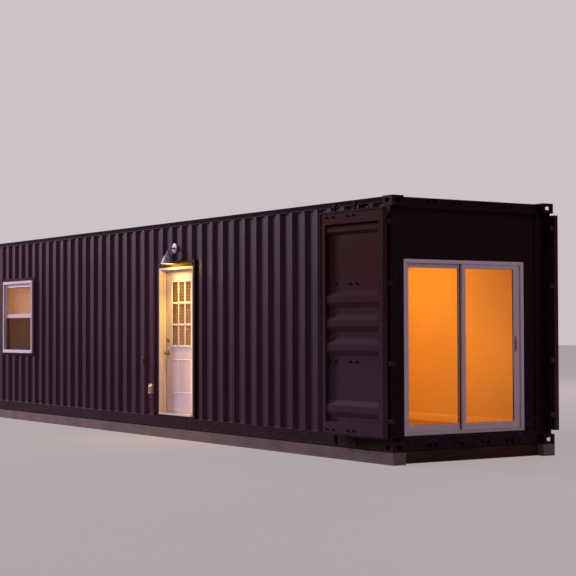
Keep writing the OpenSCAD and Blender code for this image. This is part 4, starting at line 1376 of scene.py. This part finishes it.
@dataclass
class Room(Assembly):
    """The room's plain trim: skirting boards and casings round its openings."""

    inner: float = 0.148
    floor: float = 0.168
    start_and_end: Pair = (0.281, 12.093)
    height: float = 0.1
    thick: float = 0.012
    door: Pair = (4.521, 5.484)
    door_top: float = 2.297
    window: tuple[Pair, Pair] = ((9.877, 0.998), (11.111, 2.208))
    casing: float = 0.062
    skirting_gap: Pair = (4.44, 5.565)

    def skirting(self) -> None:
        """Adds the skirting boards along both sides."""
        thick, top = self.thick, self.height
        profile = [(0, 0), (thick, 0), (thick, top - 0.02)]
        profile += [(thick - 0.006, top - 0.006), (thick - 0.008, top), (0, top)]
        section = [(self.inner + off, self.floor + up) for off, up in profile]
        start, end = self.start_and_end
        left, right = self.skirting_gap
        for side, spans in ((Side.PLAIN, [(start, end)]), (Side.ENTRY, [(start, left), (right, end)])):
            shape = self.start(self.box.corner(End.CARGO_DOORS, side))
            for span in spans:
                shape.extrude(section, *span, Axis.X)
            shape.piece(f"{side.name.lower()}_skirting", "lining_board", angle=24)

    def casings(self) -> None:
        """Adds flat casings round the entry door and the window on the room's side."""
        shape = self.start()
        width, top, face = self.casing, self.door_top, self.inner + 0.011
        (left, foot), (right, head) = self.window
        outline = [(0, 0), (0, 0.009), (0.004, 0.012), (width - 0.008, 0.01), (width, 0.006), (width, 0)]
        shape.moulding((left - width, foot - width), (right + width, head + width), outline, self.inner, 1)
        left, right = self.door
        for near, far in ((left - width, left - 0.002), (right + 0.002, right + width)):
            shape.block((near, self.inner, self.floor), (far, face, top), 0.002)
        shape.block((left - width, self.inner, top), (right + width, face, top + width), 0.002)
        shape.piece("room_casings", "white_vinyl", angle=24)

    def build(self) -> None:
        """Adds the room's trim."""
        self.skirting()
        self.casings()


@dataclass(frozen=True)
class LampSpec:
    """One area lamp: where it hangs, what it points at, its size, its power and its colour."""

    name: str
    at: Point
    towards: Point
    size: float
    power: float
    colour: Colour
    tall: float | None = None

    def hang(self) -> None:
        """Adds the lamp to the scene."""
        data = bpy.data.lights.new(self.name, "AREA")
        data.shape = "RECTANGLE"
        data.size = self.size
        data.size_y = self.tall or self.size
        data.energy = self.power
        data.color = self.colour
        lamp = bpy.data.objects.new(self.name, data)
        lamp.visible_camera = False
        lamp.location = self.at
        lamp.rotation_euler = (Vector(self.towards) - Vector(self.at)).to_track_quat("-Z", "Y").to_euler()
        bpy.context.scene.collection.objects.link(lamp)


WARM: Colour = (1.0, 0.445, 0.06)
DUSK: Colour = (1.0, 0.76, 0.94)

LAMPS = (
    LampSpec("side_key", (-33.0, -14.5, 13.0), (1.0, -1.2, 1.4), 8.0, 10000.0, DUSK),
    LampSpec("front_key", (-4.0, -17.0, 11.0), (1.0, -1.2, 1.4), 6.0, 350.0, (1.0, 0.76, 0.9)),
    LampSpec("recess", (1.49, -1.17, 1.3), (0.0, -1.17, 1.3), 0.05, 2.8, (1.0, 0.62, 0.2), 1.8),
    LampSpec("end_fill", (17.0, 3.0, 6.0), (6.0, 0.0, 1.5), 6.0, 160.0, (1.0, 0.74, 0.95)),
    LampSpec("plain_fill", (-7.0, 19.0, 10.0), (0.0, 1.2, 1.4), 8.0, 1100.0, DUSK),
    LampSpec("room_near", (3.75, -0.4, 2.7), (4.0, 0.5, 0.0), 0.9, 44.0, WARM),
    LampSpec("room_door", (5.1, 0.1, 1.4), (5.2, 1.2, 0.4), 0.4, 3.2, WARM),
    LampSpec("room_mid", (0.4, -0.4, 2.7), (0.4, 0.2, 0.0), 0.9, 34.0, WARM),
    LampSpec("room_far", (-4.2, 0.2, 2.7), (-4.2, -0.2, 0.0), 0.9, 42.0, WARM),
)


@dataclass
class Studio:
    """A pale floor, a pale surround, soft lamps outside, warm lamps in the room and the camera."""

    pale: Colour = (0.60, 0.545, 0.565)
    ambient: Colour = (0.74, 0.52, 0.66)
    ambient_level: float = 0.17
    floor_colour: Colour = (0.5, 0.42, 0.4)
    floor_pale_share: float = 0.6
    floor_size: float = 160.0
    bulb_colour: Colour = (1.0, 0.57, 0.05)
    bulb_size: float = 0.03
    glow_power: float = 10.0
    beam_power: float = 75.0
    beam_angle: float = 106.0
    camera_at: Point = (19.516, -11.429, 1.54)
    camera_yaw: float = 146.72
    camera_pitch: float = 1.53
    camera_roll: float = -0.15
    lens: float = 93.94
    sensor: float = 36.0
    clip_end: float = 400.0

    def surround(self) -> None:
        """Builds the world: a pale backdrop for what looks at it, and a plain level of light otherwise."""
        world = bpy.data.worlds.new("surround")
        bpy.context.scene.world = world
        world.use_nodes = True
        graph = Graph(world.node_tree)
        path = graph.node("ShaderNodeLightPath").outputs
        mirrored = graph.most(path["Is Glossy Ray"], path["Is Transmission Ray"])
        seen = graph.most(path["Is Camera Ray"], mirrored)
        backdrop = graph.node("ShaderNodeBackground", {"Color": self.pale}).outputs[0]
        light = {"Color": self.ambient, "Strength": self.ambient_level}
        soft = graph.node("ShaderNodeBackground", light).outputs[0]
        graph.node("ShaderNodeOutputWorld", {"Surface": graph.mix(seen, soft, backdrop)})

    def ground(self) -> None:
        """Adds the pale floor."""
        mesh = bpy.data.meshes.new("pale_floor")
        half, level = self.floor_size / 2, -0.001
        rim = [(-half, -half, level), (half, -half, level), (half, half, level), (-half, half, level)]
        mesh.from_pydata(rim, [], [(0, 1, 2, 3)])
        floor = bpy.data.objects.new("pale_floor", mesh)
        bpy.context.scene.collection.objects.link(floor)
        mesh.materials.append(self.floor_material())

    def floor_material(self) -> bpy.types.Material:
        """Builds the floor's material: it takes shadows, and looks pale only to the camera and in gloss.

        Returns:
            The material.
        """
        recipe = Recipe("pale_floor")
        colour = recipe.blend(recipe.noise(0.4, 3.0), self.floor_colour, scaled(self.floor_colour, 0.94))
        material = recipe.finish(colour, 0.9, Specular_IOR_Level=0.1)
        surface = recipe.output.inputs["Surface"].links[0].from_socket
        glow = recipe.node("ShaderNodeEmission", {"Color": self.pale}).outputs[0]
        path = recipe.node("ShaderNodeLightPath").outputs
        seen = recipe.most(path["Is Camera Ray"], path["Is Glossy Ray"])
        share = recipe.span(seen, 0.0, 1.0, (0.0, self.floor_pale_share))
        recipe.tree.links.new(recipe.mix(share, surface, glow), recipe.output.inputs["Surface"])
        return material

    def bulb(self) -> None:
        """Adds the light of the bulb under the lamp's shade: a glow all round and a beam downwards."""
        low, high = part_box("lamp_shade")
        glow, beam = ("lamp_glow", "POINT", self.glow_power), ("lamp_beam", "SPOT", self.beam_power)
        for name, kind, power in (glow, beam):
            data = bpy.data.lights.new(name, kind)
            data.energy = power
            data.color = self.bulb_colour
            data.shadow_soft_size = self.bulb_size
            if kind == "SPOT":
                data.spot_size = math.radians(self.beam_angle)
                data.spot_blend = 1.0
            lamp = bpy.data.objects.new(name, data)
            lamp.location = ((low.x + high.x) / 2, (low.y + high.y) / 2, low.z - 0.01)
            bpy.context.scene.collection.objects.link(lamp)

    def camera(self) -> None:
        """Sets the camera where the photograph was taken from."""
        data = bpy.data.cameras.new("camera")
        data.sensor_width = self.sensor
        data.lens = self.lens
        data.clip_end = self.clip_end
        camera = bpy.data.objects.new("camera", data)
        turn = Matrix.Rotation(math.radians(self.camera_yaw - 90), 4, "Z")
        tilt = Matrix.Rotation(math.radians(90 + self.camera_pitch), 4, "X")
        roll = Matrix.Rotation(math.radians(self.camera_roll), 4, "Z")
        camera.matrix_world = Matrix.Translation(self.camera_at) @ (turn @ tilt @ roll)
        bpy.context.scene.collection.objects.link(camera)
        bpy.context.scene.camera = camera

    def build(self) -> None:
        """Builds the whole studio."""
        self.surround()
        self.ground()
        for lamp in LAMPS:
            lamp.hang()
        self.bulb()
        self.camera()


def main() -> None:
    """Builds every piece in order."""
    logging.basicConfig(level=logging.INFO, format="%(message)s")
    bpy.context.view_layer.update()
    bpy.context.scene.view_settings.view_transform = "Standard"
    box = Box.from_frame()
    palette = Palette()
    palette.dress_frame()
    for assembly in (
        SteelBox(box, palette),
        CargoLeaf(box, palette, Side.ENTRY, "left_leaf"),
        CargoLeaf(box, palette, Side.PLAIN, "right_leaf"),
        EntryDoor(box, palette),
        SideWindow(box, palette),
        PatioDoor(box, palette),
        SideFittings(box, palette),
        PackingAndShadeStrips(box, palette),
        Room(box, palette),
        Studio(),
    ):
        assembly.build()


if __name__ == "__main__":
    main()
